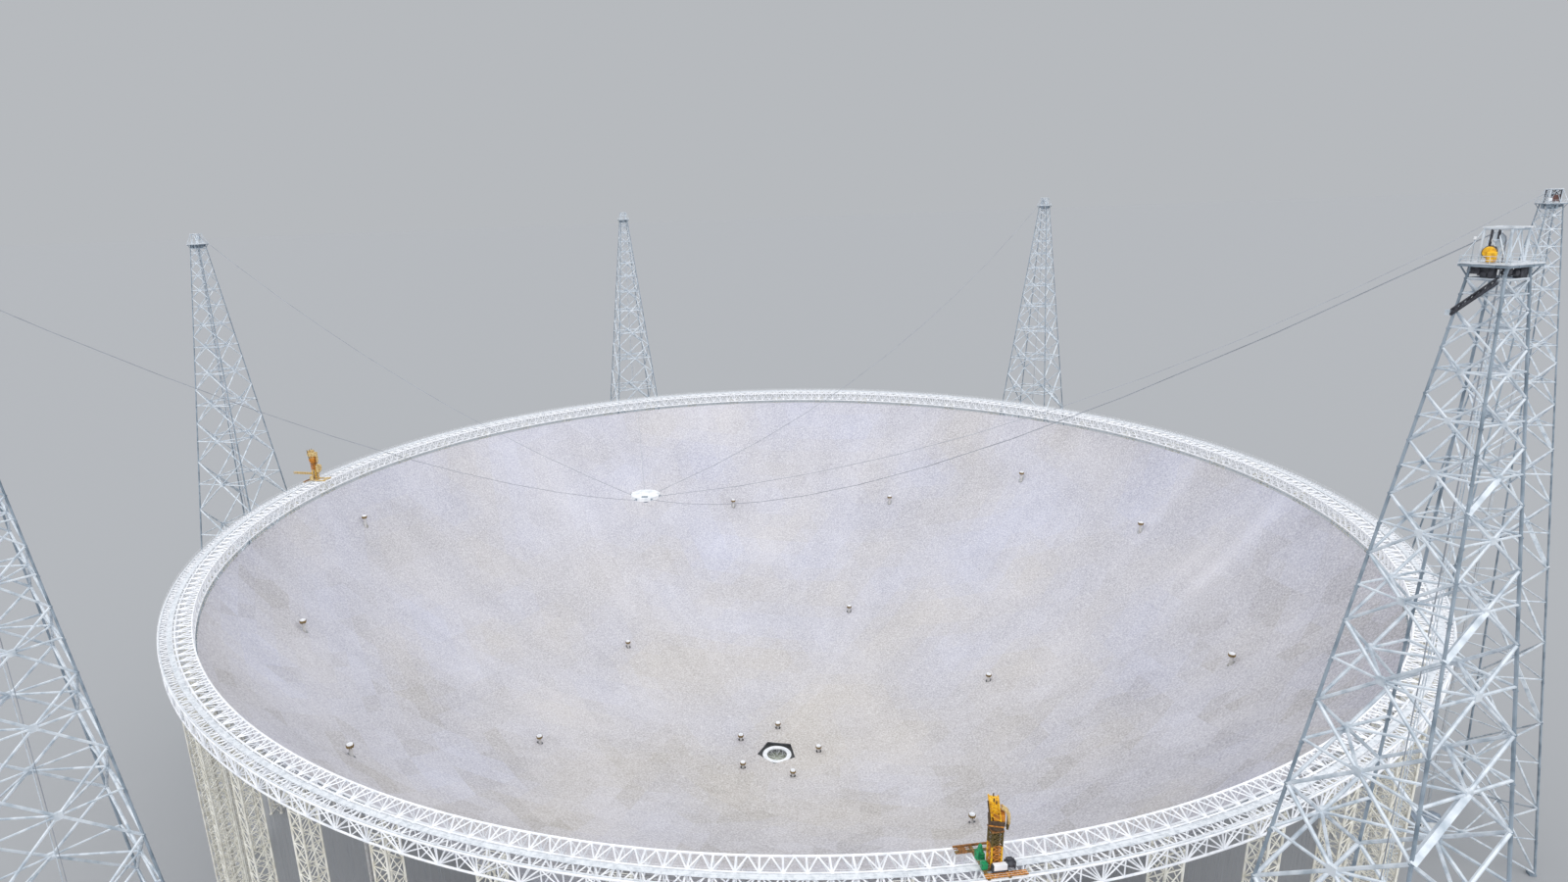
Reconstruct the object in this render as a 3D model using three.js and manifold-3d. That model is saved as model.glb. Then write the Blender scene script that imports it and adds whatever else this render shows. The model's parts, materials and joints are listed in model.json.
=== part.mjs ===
// A radio telescope with a fixed spherical bowl, as a scale model at 1:20 that stands on a level floor.
// The bowl hangs inside a ring beam on fifty lattice columns. Six lattice towers outside the ring hold
// a feed cabin over the bowl on long ropes. Millimetres, +Z up, origin on the floor under the bowl's centre.
import * as THREE from "three";
import { mergeVertices } from "three/addons/utils/BufferGeometryUtils.js";
import Module from "manifold-3d";

const wasm = await Module();
wasm.setup();

// One metre of the real telescope in the model's millimetres.
const M = 50;
// What touching pieces leave between them.
const GAP = 0.3;
const TURN = 2 * Math.PI;
const DEGREE = Math.PI / 180;

// Reflector: a cap of a sphere, in five sectors around a five-sided opening.
const SPHERE_RADIUS = 300 * M;
const APERTURE_RADIUS = 250 * M;
const RIM_HEIGHT = 139.8 * M;
const PANEL_DEPTH = 0.6 * M;
const SECTORS = 5;
const SECTOR_START = -170.2 * DEGREE;
const OPENING_RADIUS = 10.6 * M;
const REFLECTOR_RINGS = 8;
const SPHERE_CENTRE = RIM_HEIGHT + Math.sqrt(SPHERE_RADIUS ** 2 - APERTURE_RADIUS ** 2);

// Ring beam and its columns, one column at each station.
const STATIONS = 50;
const STATION_ANGLE = TURN / STATIONS;
const RING_TOP = 147 * M;
const RING_DEPTH = 5.5 * M;
const RING_INNER = APERTURE_RADIUS + 0.1 * M + GAP;
const RING_OUTER = 261.7 * M;
const FRAME_THICKNESS = 0.6 * M;
const COLUMN_LEG = 0.8 * M;
const COLUMN_BRACE = 0.5 * M;
const COLUMN_PANELS = 3;
const RING_STRIP = 0.7 * M;
const CHORD_RADIUS = 0.28 * M;

// Towers: square, evenly tapered, with a deck and a rope wheel on top.
const TOWERS = 6;
const TOWER_CIRCLE = 300 * M;
const TOWER_START = 51.1 * DEGREE;
const TOWER_TOP = 281.8 * M;
const HEAD_HEIGHT = 5.2 * M;
const TOWER_TAPER = 0.0963;
const TOWER_TOP_HALF = 2.1 * M;
const TOWER_PANELS = 6;
const PANEL_GROWTH = 1.45;
const TOWER_LEG = 1.1 * M;
const TOWER_BRACE = 0.65 * M;
const TOWER_PLATE = 0.6 * M;
const FACE_STEP = 0.04 * M;
const DECK_WIDTH = 7.2 * M;
const DECK_THICKNESS = 0.4 * M;
const DECK_HATCH = 2.4 * M;
const HEAD_WIDTH = 4.1 * M;
const HEAD_POST = 0.22 * M;
const WHEEL_RADIUS = 1 * M;
const WHEEL_WIDTH = 0.5 * M;
const WHEEL_DROP = 2 * M;
const WHEEL_POST = 0.18 * M;
const WHEEL_STEP = 30 * DEGREE;
const WHEEL_WRAP = 4;

// Feed cabin at a working place over the bowl, and the ropes that hold it.
const CABIN = new THREE.Vector3(-58.5 * M, -27.1 * M, RING_TOP + 12 * M);
const CABIN_RADIUS = 6.7 * M;
const CABIN_BAND = 0.8 * M;
const LUG_LENGTH = 0.8 * M;
const LUG_WIDTH = 0.8 * M;
const ROPE_RADIUS = 0.08 * M;
const ROPE_SAG = 22 * M;
const SAG_SPAN = 374 * M;
const ROPE_STEPS = 10;

// Winch house at the foot of each tower.
const HOUSE_LENGTH = 12 * M;
const HOUSE_WIDTH = 8 * M;
const HOUSE_WALL = 4.5 * M;
const HOUSE_RIDGE = 6 * M;

// Docking platform under the five-sided opening.
const DOCK_RADIUS = 7.6 * M;
const DOCK_HOLE = 4.6 * M;
const DOCK_TOP = 4.6 * M;
const DOCK_THICKNESS = 0.8 * M;
const DOCK_LEGS = 6;
const DOCK_LEG_RADIUS = 0.5 * M;
const DOCK_PAD = 0.6 * M;

// Measuring piers: distance from the centre in metres and azimuth in degrees.
const PIERS = [
  [22, 152], [22, 88], [22, 0], [23, -70], [23, -140],
  [120, 14.8], [124, 67.4], [116, 140.2], [122, -165.1], [120, -46.8],
  [205, -15.1], [219, 19.5], [224, 43.7], [200, 66.1], [195, 98.2], [235, 168], [223, -166.1], [207, -142.2],
];
const PIER_RADIUS = 1.1 * M;
const PIER_HOLE = 1.5 * M;
const PIER_HEAD_RADIUS = 1.9 * M;
const PIER_HEAD_HEIGHT = 1.8 * M;
const PIER_CLEARANCE = 1.8 * M;

// Derricks on the ring beam. The mast's azimuth is in degrees, and left, right and arm are in metres:
// how far the footing reaches to both sides of the mast, and how far the low arm reaches outwards.
const DERRICKS = [
  { mast: -79.5, left: 6.8, right: 6.2, arm: 0 },
  { mast: 169.5, left: 4, right: 6.2, arm: 14 },
];
const DERRICK_CIRCLE = 257.5 * M;
const FOOTING_BEAM = 0.6 * M;
const FOOTING_INNER = 7.1 * M;
const FOOTING_OUTER = 4.1 * M;
const MAST_HALF = 1.4 * M;
const MAST_HEIGHT = 9.4 * M;
const MAST_POST = 0.2 * M;
const ARM_LEVEL = 3.2 * M;
const ARM_DEPTH = 0.9 * M;
const SLEW_TURN = 80 * DEGREE;
const SLEW_RADIUS = 1.6 * M;
const SLEW_HEIGHT = 0.5 * M;
const HOUSING = 3.2 * M;
const HOUSING_HEIGHT = 2 * M;
const JIB_WIDTH = 3 * M;
const JIB_TOP = 6.6 * M;
const JIB_LEAN = 0.8 * M;
const SIDE_REACH = 3.3 * M;
const SIDE_FOOT = -1 * M;
const SIDE_BAR = 0.25 * M;

// Paints, as on the real telescope.
const paint = (color, roughness, metalness) => new THREE.MeshStandardMaterial({ color, roughness, metalness });
const PANEL_ALUMINIUM = paint(0xc9c9ca, 0.55, 0.6);
const WHITE_PAINT = paint(0xe8ebee, 0.5, 0.1);
const GALVANISED = paint(0xa9b6bf, 0.45, 0.7);
const ROPE_STEEL = paint(0x8a8f94, 0.5, 0.8);
const CONCRETE = paint(0xc4c1ba, 0.85, 0);
const YELLOW_PAINT = paint(0xc8931e, 0.5, 0.1);

// Closed geometry as a solid for joins and cuts.
function solid(geometry) {
  const bare = geometry.clone();
  bare.deleteAttribute("normal");
  bare.deleteAttribute("uv");
  const merged = mergeVertices(bare, 1e-3);
  return new wasm.Manifold(
    new wasm.Mesh({
      numProp: 3,
      vertProperties: merged.attributes.position.array,
      triVerts: new Uint32Array(merged.index.array),
    }),
  );
}

// Joins solids in pairs, so that big solids are touched few times.
function join(pieces) {
  let list = pieces;
  while (list.length > 1) {
    const next = [];
    for (let i = 0; i < list.length; i += 2) {
      next.push(i + 1 < list.length ? list[i].add(list[i + 1]) : list[i]);
    }
    list = next;
  }
  return list[0];
}

// A solid as geometry with flat faces.
function geometryOf(made) {
  const mesh = made.getMesh();
  const geometry = new THREE.BufferGeometry();
  geometry.setAttribute("position", new THREE.BufferAttribute(mesh.vertProperties, mesh.numProp));
  geometry.setIndex(new THREE.BufferAttribute(mesh.triVerts, 1));
  const flat = geometry.toNonIndexed();
  flat.computeVertexNormals();
  return flat;
}

const telescope = new THREE.Group();

function piece(name, made, material) {
  const mesh = new THREE.Mesh(geometryOf(made), material);
  mesh.name = name;
  telescope.add(mesh);
  return mesh;
}

const point = (radius, azimuth, height = 0) =>
  new THREE.Vector3(radius * Math.cos(azimuth), radius * Math.sin(azimuth), height);

// Corners of a regular polygon around the origin of a flat shape.
function polygon(sides, radius, start = 0) {
  return Array.from({ length: sides }, (_, i) => {
    const angle = start + (TURN * i) / sides;
    return new THREE.Vector2(radius * Math.cos(angle), radius * Math.sin(angle));
  });
}

// A flat outline with holes, raised along +Z.
function plate(outline, holes, height) {
  const shape = new THREE.Shape(outline);
  shape.holes = holes.map((hole) => new THREE.Path(hole));
  return new THREE.ExtrudeGeometry(shape, { depth: height, bevelEnabled: false });
}

const rectangle = (x0, y0, x1, y1) => [
  new THREE.Vector2(x0, y0),
  new THREE.Vector2(x1, y0),
  new THREE.Vector2(x1, y1),
  new THREE.Vector2(x0, y1),
];

// A straight bar between two points, with a flat of its section down.
function bar(from, to, radius, sides) {
  const start = -Math.PI / 2 + Math.PI / sides;
  const geometry = plate(polygon(sides, radius, start), [], from.distanceTo(to));
  const aim = new THREE.Matrix4().lookAt(to, from, new THREE.Vector3(0, 0, 1)).setPosition(from);
  return solid(geometry.applyMatrix4(aim));
}

// A box that stands at a height, given by its size along X and Y and its height.
function box(sizeX, sizeY, height, x = 0, y = 0, z = 0) {
  return solid(new THREE.BoxGeometry(sizeX, sizeY, height).translate(x, y, z + height / 2));
}

// Moves each edge of an anticlockwise convex outline inwards by its own distance.
function inset(corners, distances) {
  const count = corners.length;
  const edges = corners.map((corner, i) => {
    const along = corners[(i + 1) % count].clone().sub(corner).normalize();
    const inwards = new THREE.Vector2(-along.y, along.x);
    return { start: corner.clone().addScaledVector(inwards, distances[i]), along };
  });
  return edges.map((edge, i) => {
    const before = edges[(i + count - 1) % count];
    const offset = edge.start.clone().sub(before.start);
    const cross = before.along.x * edge.along.y - before.along.y * edge.along.x;
    const reach = (offset.x * edge.along.y - offset.y * edge.along.x) / cross;
    return before.start.clone().addScaledVector(before.along, reach);
  });
}

// Holes of a lattice with one brace a panel, which goes from side to side.
// levels are the heights of the brace ends, which lie on the legs' centre lines, and sideAt gives the
// half-width at a height.
function lacing(levels, middle, sideAt, leg, brace) {
  const end = (side, level) => new THREE.Vector2(middle + side * (sideAt(level) - leg / 2), level);
  const last = levels.length - 1;
  return levels.map((level, i) => {
    const side = i % 2 ? 1 : -1;
    const below = levels[Math.max(i - 1, 0)];
    const above = levels[Math.min(i + 1, last)];
    if (i === 0)
      return inset([end(side, below), end(-side, below), end(side, above)], [brace, brace / 2, leg / 2]);
    if (i === last && side > 0)
      return inset([end(side, below), end(side, above), end(-side, above)], [leg / 2, brace, brace / 2]);
    if (i === last)
      return inset([end(side, below), end(-side, above), end(side, above)], [brace / 2, brace, leg / 2]);
    const [first, second] = side > 0 ? [below, above] : [above, below];
    return inset([end(side, first), end(side, second), end(-side, level)], [leg / 2, brace / 2, brace / 2]);
  });
}

// Reflector: five sectors of a shell, cut apart at the stations' azimuths.
function reflector() {
  const rim = Math.asin(APERTURE_RADIUS / SPHERE_RADIUS);
  const first = 0.6 * (OPENING_RADIUS / SPHERE_RADIUS);
  const back = SPHERE_RADIUS + PANEL_DEPTH;
  const edge = APERTURE_RADIUS + 0.1 * M;
  const at = (radius, angle) =>
    new THREE.Vector2(radius * Math.sin(angle), SPHERE_CENTRE - radius * Math.cos(angle));
  const angles = Array.from(
    { length: REFLECTOR_RINGS + 1 },
    (_, i) => first + ((rim - first) * i) / REFLECTOR_RINGS,
  );
  const profile = [
    ...angles.map((angle) => at(back, Math.min(angle, Math.asin(edge / back)))),
    new THREE.Vector2(edge, RIM_HEIGHT),
    ...angles.map((angle) => at(SPHERE_RADIUS, angle)).reverse(),
    at(back, first),
  ];
  const lathe = new THREE.LatheGeometry(profile, STATIONS, SECTOR_START + Math.PI / 2);
  let shell = solid(lathe.rotateX(Math.PI / 2));
  const pentagon = plate(polygon(SECTORS, OPENING_RADIUS, SECTOR_START), [], RIM_HEIGHT);
  shell = shell.subtract(solid(pentagon));
  for (const pier of PIERS) {
    const place = point(pier[0] * M, pier[1] * DEGREE);
    const hole = plate(polygon(6, PIER_HOLE), [], RING_TOP).translate(place.x, place.y, 0);
    shell = shell.subtract(solid(hole));
  }
  const reach = 1.3 * APERTURE_RADIUS;
  const sector = TURN / SECTORS;
  for (let i = 0; i < SECTORS; i++) {
    const start = SECTOR_START + i * sector;
    const apex = point(GAP / 2 / Math.sin(sector / 2), start + sector / 2);
    const wedge = [0, 1].map((side) => point(reach, start + side * sector).add(apex));
    const outline = [apex, ...wedge].map((corner) => new THREE.Vector2(corner.x, corner.y));
    const cutter = solid(plate(outline, [], RING_TOP));
    piece("reflector_sector_" + (i + 1), shell.intersect(cutter), PANEL_ALUMINIUM);
  }
}

// One radial frame: a lattice column from the floor, and the ring beam's section on it.
function columnFrame() {
  const ringBottom = RING_TOP - RING_DEPTH;
  const outline = rectangle(RING_INNER, 0, RING_OUTER, RING_TOP);
  const middle = (RING_INNER + RING_OUTER) / 2;
  const half = (RING_OUTER - RING_INNER) / 2;
  const levels = Array.from({ length: COLUMN_PANELS }, (_, i) => (ringBottom * i) / (COLUMN_PANELS - 1));
  const holes = lacing(levels, middle, () => half, COLUMN_LEG, COLUMN_BRACE);
  holes.push(
    rectangle(
      RING_INNER + COLUMN_LEG,
      ringBottom + RING_STRIP,
      RING_OUTER - COLUMN_LEG,
      RING_TOP - RING_STRIP,
    ),
  );
  const frame = plate(outline, holes, FRAME_THICKNESS).translate(0, 0, -FRAME_THICKNESS / 2);
  return frame.rotateX(Math.PI / 2);
}

// Ring beam: five segments of ten bays, each with its ten columns.
function ringBeam() {
  const frame = columnFrame();
  const edge = RING_STRIP / 2;
  const side = COLUMN_LEG / 2;
  const chords = [
    [RING_INNER + side, RING_TOP - edge],
    [RING_OUTER - side, RING_TOP - edge],
    [RING_INNER + side, RING_TOP - RING_DEPTH + edge],
    [RING_OUTER - side, RING_TOP - RING_DEPTH + edge],
  ];
  const bays = STATIONS / SECTORS;
  const bite = 1;
  for (let segment = 0; segment < SECTORS; segment++) {
    const solids = [];
    for (let bay = 0; bay < bays; bay++) {
      const azimuth = SECTOR_START + (segment * bays + bay) * STATION_ANGLE;
      solids.push(solid(frame.clone().rotateZ(azimuth)));
      const isLast = bay === bays - 1;
      for (const [radius, height] of chords) {
        const start = point(radius, azimuth, height);
        const end = point(radius, azimuth + STATION_ANGLE, height);
        const along = end.clone().sub(start).normalize();
        start.addScaledVector(along, FRAME_THICKNESS / 2 - bite);
        end.addScaledVector(along, -FRAME_THICKNESS / 2 + (isLast ? -CHORD_RADIUS * 0.1 - GAP : bite));
        solids.push(bar(start, end, CHORD_RADIUS, 3));
      }
    }
    piece("ring_segment_" + (segment + 1), join(solids), WHITE_PAINT);
  }
}

const towerHalf = (height) => TOWER_TOP_HALF + TOWER_TAPER * (TOWER_TOP - height);

// One leaning lattice side of a tower, turned to its quarter. Its outer face lies the step in from the
// corner line, its edges are trimmed, and its braces have their own width, so that no two sides line up.
function towerSide(quarter, step, trim, brace) {
  const lean = Math.atan(TOWER_TAPER);
  const slope = Math.cos(lean);
  const top = (TOWER_TOP - HEAD_HEIGHT - DECK_THICKNESS / 2) / slope;
  const bottom = -TOWER_LEG;
  const halfAt = (distance) => towerHalf(distance * slope) - trim;
  const outline = [
    new THREE.Vector2(-halfAt(bottom), bottom),
    new THREE.Vector2(halfAt(bottom), bottom),
    new THREE.Vector2(halfAt(top), top),
    new THREE.Vector2(-halfAt(top), top),
  ];
  const total = PANEL_GROWTH ** TOWER_PANELS - 1;
  const levels = Array.from({ length: TOWER_PANELS + 1 }, (_, i) => {
    const share = (PANEL_GROWTH ** (TOWER_PANELS - i) - 1) / total;
    return top * (1 - share);
  });
  const holes = lacing(levels, 0, halfAt, TOWER_LEG, brace);
  const side = plate(outline, holes, TOWER_PLATE).translate(0, 0, -TOWER_PLATE);
  const place = new THREE.Matrix4().makeBasis(
    new THREE.Vector3(0, 1, 0),
    new THREE.Vector3(-Math.sin(lean), 0, slope),
    new THREE.Vector3(slope, 0, Math.sin(lean)),
  );
  side.applyMatrix4(place.setPosition(towerHalf(0) - step, 0, 0));
  return solid(side.rotateZ((quarter * TURN) / 4));
}

// Deck and open frame on top of a tower.
function towerHead() {
  const deckLevel = TOWER_TOP - HEAD_HEIGHT - DECK_THICKNESS;
  const half = DECK_WIDTH / 2;
  const hatch = DECK_HATCH / 2;
  const deck = plate(
    rectangle(-half, -half, half, half),
    [rectangle(-hatch, -hatch, hatch, hatch)],
    DECK_THICKNESS,
  ).translate(0, 0, deckLevel);
  const outer = HEAD_WIDTH / 2;
  const inner = outer - 4 * HEAD_POST;
  const crown = plate(
    rectangle(-outer, -outer, outer, outer),
    [rectangle(-inner, -inner, inner, inner)],
    DECK_THICKNESS,
  ).translate(0, 0, TOWER_TOP - DECK_THICKNESS);
  const solids = [solid(deck), solid(crown)];
  const post = outer - 2 * HEAD_POST;
  for (const corner of polygon(4, post * Math.SQRT2, Math.PI / 4)) {
    const foot = new THREE.Vector3(corner.x, corner.y, deckLevel + DECK_THICKNESS / 2);
    const tip = foot.clone().setZ(TOWER_TOP - DECK_THICKNESS / 2);
    solids.push(bar(foot, tip, HEAD_POST, 4));
  }
  return join(solids);
}

// Rope wheel on two posts. Its plane holds the tower's axis, and the rope leaves it towards -X.
function ropeWheel() {
  const centre = TOWER_TOP - WHEEL_DROP;
  const deckTop = TOWER_TOP - HEAD_HEIGHT;
  const wheel = plate(polygon(8, WHEEL_RADIUS, Math.PI / 8), [], WHEEL_WIDTH)
    .translate(0, 0, -WHEEL_WIDTH / 2)
    .rotateX(Math.PI / 2)
    .translate(-WHEEL_RADIUS, 0, centre);
  const reach = DECK_HATCH / 2 + 2 * WHEEL_POST;
  const solids = [solid(wheel)];
  solids.push(
    bar(
      new THREE.Vector3(-WHEEL_RADIUS, -reach, centre),
      new THREE.Vector3(-WHEEL_RADIUS, reach, centre),
      WHEEL_POST,
      4,
    ),
  );
  for (const side of [-1, 1]) {
    const foot = new THREE.Vector3(-WHEEL_RADIUS, side * (reach - WHEEL_POST), deckTop - DECK_THICKNESS / 2);
    solids.push(bar(foot, foot.clone().setZ(centre), WHEEL_POST * 1.2, 4));
  }
  return join(solids);
}

// Where a rope meets the cabin, and the azimuth from the tower to the cabin.
function ropeLine(tower) {
  const azimuth = TOWER_START + (tower * TURN) / TOWERS;
  const foot = point(TOWER_CIRCLE, azimuth);
  const towards = Math.atan2(CABIN.y - foot.y, CABIN.x - foot.x);
  const reach = CABIN_RADIUS + LUG_LENGTH + GAP;
  const lug = point(reach, towards + Math.PI).add(CABIN);
  return { azimuth, foot, towards, lug };
}

function towers() {
  const floor = box(2 * TOWER_CIRCLE, 2 * TOWER_CIRCLE, RING_TOP, 0, 0, -RING_TOP);
  const sides = [0, 1, 2, 3].map((quarter) =>
    quarter % 2
      ? towerSide(quarter, FACE_STEP, TOWER_PLATE / 2, TOWER_BRACE * 0.9)
      : towerSide(quarter, 0, 0, TOWER_BRACE),
  );
  const body = join([...sides, towerHead()]).subtract(floor);
  for (let i = 0; i < TOWERS; i++) {
    const { azimuth, foot, towards } = ropeLine(i);
    const wheel = geometryOf(ropeWheel()).rotateZ(towards - azimuth + Math.PI);
    const mesh = piece("tower_" + (i + 1), body.add(solid(wheel)), GALVANISED);
    mesh.position.copy(foot);
    mesh.rotation.z = azimuth;
  }
}

// Ropes: from the cabin up to the wheel of each tower, over it, and down to the winch house.
function ropes() {
  for (let i = 0; i < TOWERS; i++) {
    const { foot, towards, lug } = ropeLine(i);
    const wheelRadius = (WHEEL_RADIUS + ROPE_RADIUS + GAP) / Math.cos(WHEEL_STEP / 2);
    const inwards = point(1, towards);
    const centre = foot.clone().addScaledVector(inwards, WHEEL_RADIUS).setZ(TOWER_TOP - WHEEL_DROP);
    const onWheel = (angle) =>
      centre
        .clone()
        .addScaledVector(inwards, -wheelRadius * Math.cos(angle))
        .add(new THREE.Vector3(0, 0, wheelRadius * Math.sin(angle)));
    const top = onWheel(WHEEL_WRAP * WHEEL_STEP);
    const span = lug.distanceTo(top);
    const sag = ROPE_SAG * (span / SAG_SPAN) ** 2;
    const route = [];
    for (let step = 0; step < ROPE_STEPS; step++) {
      const share = step / ROPE_STEPS;
      const place = lug.clone().lerp(top, share);
      place.z -= 4 * sag * share * (1 - share);
      route.push(place);
    }
    for (let step = WHEEL_WRAP; step >= 0; step--) route.push(onWheel(step * WHEEL_STEP));
    route.push(onWheel(0).setZ(HOUSE_RIDGE + GAP));
    piece("rope_" + (i + 1), ropeSolid(route), ROPE_STEEL);
  }
}

// A square rope along a route of straight stretches, with its corners mitred and its first end upright.
function ropeSolid(route) {
  const start = new THREE.Vector3().subVectors(route.at(-2), route[0]).setZ(0).normalize();
  const across = new THREE.Vector3(0, 0, 1).cross(start);
  const last = route.length - 1;
  const rings = route.map((place, i) => {
    const ahead = i < last ? route[i + 1].clone().sub(place).normalize() : null;
    const behind = i ? place.clone().sub(route[i - 1]).normalize() : null;
    const stretch = ahead ?? behind;
    const normal = i ? behind.clone().add(stretch).normalize() : start;
    const wide = across.clone().multiplyScalar(ROPE_RADIUS);
    const high = across.clone().cross(normal).multiplyScalar(ROPE_RADIUS / normal.dot(stretch));
    return [
      place.clone().add(wide).add(high),
      place.clone().sub(wide).add(high),
      place.clone().sub(wide).sub(high),
      place.clone().add(wide).sub(high),
    ];
  });
  const positions = rings.flat().flatMap((corner) => corner.toArray());
  const faces = [0, 1, 2, 0, 2, 3];
  for (let i = 1; i < rings.length; i++) {
    for (let k = 0; k < 4; k++) {
      const a = 4 * (i - 1) + k;
      const b = 4 * (i - 1) + ((k + 1) % 4);
      faces.push(a, a + 4, b, b, a + 4, b + 4);
    }
  }
  const end = 4 * last;
  faces.push(end, end + 2, end + 1, end, end + 3, end + 2);
  const geometry = new THREE.BufferGeometry();
  geometry.setAttribute("position", new THREE.Float32BufferAttribute(positions, 3));
  geometry.setIndex(faces);
  return solid(geometry);
}

function feedCabin() {
  const profile = [
    new THREE.Vector2(0, -3.2 * M),
    new THREE.Vector2(1.2 * M, -3.2 * M),
    new THREE.Vector2(2.2 * M, -1.6 * M),
    new THREE.Vector2(4.8 * M, -1.3 * M),
    new THREE.Vector2(CABIN_RADIUS, -CABIN_BAND),
    new THREE.Vector2(CABIN_RADIUS, CABIN_BAND),
    new THREE.Vector2(2.6 * M, 1.1 * M),
    new THREE.Vector2(2 * M, 1.9 * M),
    new THREE.Vector2(0, 2 * M),
  ];
  const body = solid(closedLathe(profile, 12).translate(CABIN.x, CABIN.y, CABIN.z));
  const solids = [body];
  for (let i = 0; i < TOWERS; i++) {
    const { towards } = ropeLine(i);
    const depth = LUG_LENGTH + 0.6 * M;
    const lug = new THREE.BoxGeometry(depth, LUG_WIDTH, LUG_WIDTH)
      .translate(CABIN_RADIUS + LUG_LENGTH - depth / 2, 0, 0)
      .rotateZ(towards + Math.PI)
      .translate(CABIN.x, CABIN.y, CABIN.z);
    solids.push(solid(lug));
  }
  piece("feed_cabin", join(solids), WHITE_PAINT);
}

// A lathe around +Z whose profile starts and ends on the axis, without its empty triangles at the poles.
function closedLathe(profile, segments) {
  const lathe = new THREE.LatheGeometry(profile, segments);
  lathe.deleteAttribute("normal");
  lathe.deleteAttribute("uv");
  const merged = mergeVertices(lathe, 1e-3);
  const kept = [];
  const index = merged.index.array;
  for (let i = 0; i < index.length; i += 3) {
    const [a, b, c] = [index[i], index[i + 1], index[i + 2]];
    if (a !== b && b !== c && a !== c) kept.push(a, b, c);
  }
  merged.setIndex(kept);
  return merged.rotateX(Math.PI / 2);
}

function winchHouses() {
  const half = HOUSE_WIDTH / 2;
  const gable = [
    new THREE.Vector2(-half, 0),
    new THREE.Vector2(half, 0),
    new THREE.Vector2(half, HOUSE_WALL),
    new THREE.Vector2(ROPE_RADIUS * 3, HOUSE_RIDGE),
    new THREE.Vector2(-ROPE_RADIUS * 3, HOUSE_RIDGE),
    new THREE.Vector2(-half, HOUSE_WALL),
  ];
  const house = plate(gable, [], HOUSE_LENGTH).translate(0, 0, -HOUSE_LENGTH / 2).rotateX(Math.PI / 2);
  for (let i = 0; i < TOWERS; i++) {
    const { foot, towards } = ropeLine(i);
    const mesh = piece("winch_house_" + (i + 1), solid(house), WHITE_PAINT);
    mesh.position.copy(foot);
    mesh.rotation.z = towards + Math.PI / 2;
  }
}

function dockingPlatform() {
  const pad = plate(polygon(12, DOCK_RADIUS), [], DOCK_PAD);
  const ring = plate(polygon(12, DOCK_RADIUS), [polygon(12, DOCK_HOLE).reverse()], DOCK_THICKNESS);
  const solids = [solid(pad), solid(ring.translate(0, 0, DOCK_TOP - DOCK_THICKNESS))];
  for (const leg of polygon(DOCK_LEGS, (DOCK_RADIUS + DOCK_HOLE) / 2)) {
    const foot = new THREE.Vector3(leg.x, leg.y, DOCK_PAD / 2);
    solids.push(bar(foot, foot.clone().setZ(DOCK_TOP - DOCK_THICKNESS / 2), DOCK_LEG_RADIUS, 4));
  }
  piece("docking_platform", join(solids), WHITE_PAINT);
}

function measuringPiers() {
  PIERS.forEach(([distance, azimuth], i) => {
    const place = point(distance * M, azimuth * DEGREE);
    const flatRadius = distance * M;
    const surface = SPHERE_CENTRE - Math.sqrt(SPHERE_RADIUS ** 2 - (flatRadius + PIER_HEAD_RADIUS) ** 2);
    const headFoot = surface + PIER_CLEARANCE;
    const column = solid(plate(polygon(6, PIER_RADIUS), [], headFoot + PIER_HEAD_HEIGHT / 2));
    const head = solid(plate(polygon(6, PIER_HEAD_RADIUS), [], PIER_HEAD_HEIGHT).translate(0, 0, headFoot));
    const mesh = piece("measuring_pier_" + String(i + 1).padStart(2, "0"), column.add(head), CONCRETE);
    mesh.position.copy(place);
  });
}

// Mast of a derrick: a footing of four beams on the ring beam, four posts with hoops, and a low arm.
function derrickMast({ left, right, arm }) {
  const half = MAST_HALF;
  const top = FOOTING_BEAM + MAST_HEIGHT;
  const beam = FOOTING_BEAM;
  const length = FOOTING_INNER + FOOTING_OUTER;
  const middle = (FOOTING_OUTER - FOOTING_INNER) / 2;
  const hoop = (height) =>
    solid(
      plate(
        rectangle(-half, -half, half, half),
        [rectangle(-half + 2 * MAST_POST, -half + 2 * MAST_POST, half - 2 * MAST_POST, half - 2 * MAST_POST)],
        2 * MAST_POST,
      ).translate(0, 0, height),
    );
  const solids = [
    box(length, beam, beam, middle, -2.7 * M),
    box(length, beam, beam, middle, 2 * M),
    box(2 * half, 5 * M, beam * 0.9, 0, -0.35 * M),
    box(beam, (left + 2.1) * M, beam * 0.8, 1.9 * M - FOOTING_INNER, ((2.1 - left) * M) / 2),
    box(beam, (right + 2.8) * M, beam * 0.8, FOOTING_OUTER - 0.7 * M, ((right - 2.8) * M) / 2),
    hoop(beam + MAST_HEIGHT / 3),
    hoop(beam + (MAST_HEIGHT * 2) / 3),
    box(2 * half, 2 * half, 2 * MAST_POST, 0, 0, top - 2 * MAST_POST),
  ];
  for (const corner of polygon(4, (half - MAST_POST) * Math.SQRT2, Math.PI / 4)) {
    const foot = new THREE.Vector3(corner.x, corner.y, beam / 2);
    solids.push(bar(foot, foot.clone().setZ(top - MAST_POST), MAST_POST * 1.2, 4));
  }
  if (arm) {
    const reach = arm * M;
    solids.push(box(reach + half, ARM_DEPTH, ARM_DEPTH, (reach - half) / 2, 0, ARM_LEVEL));
  }
  return join(solids);
}

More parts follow.
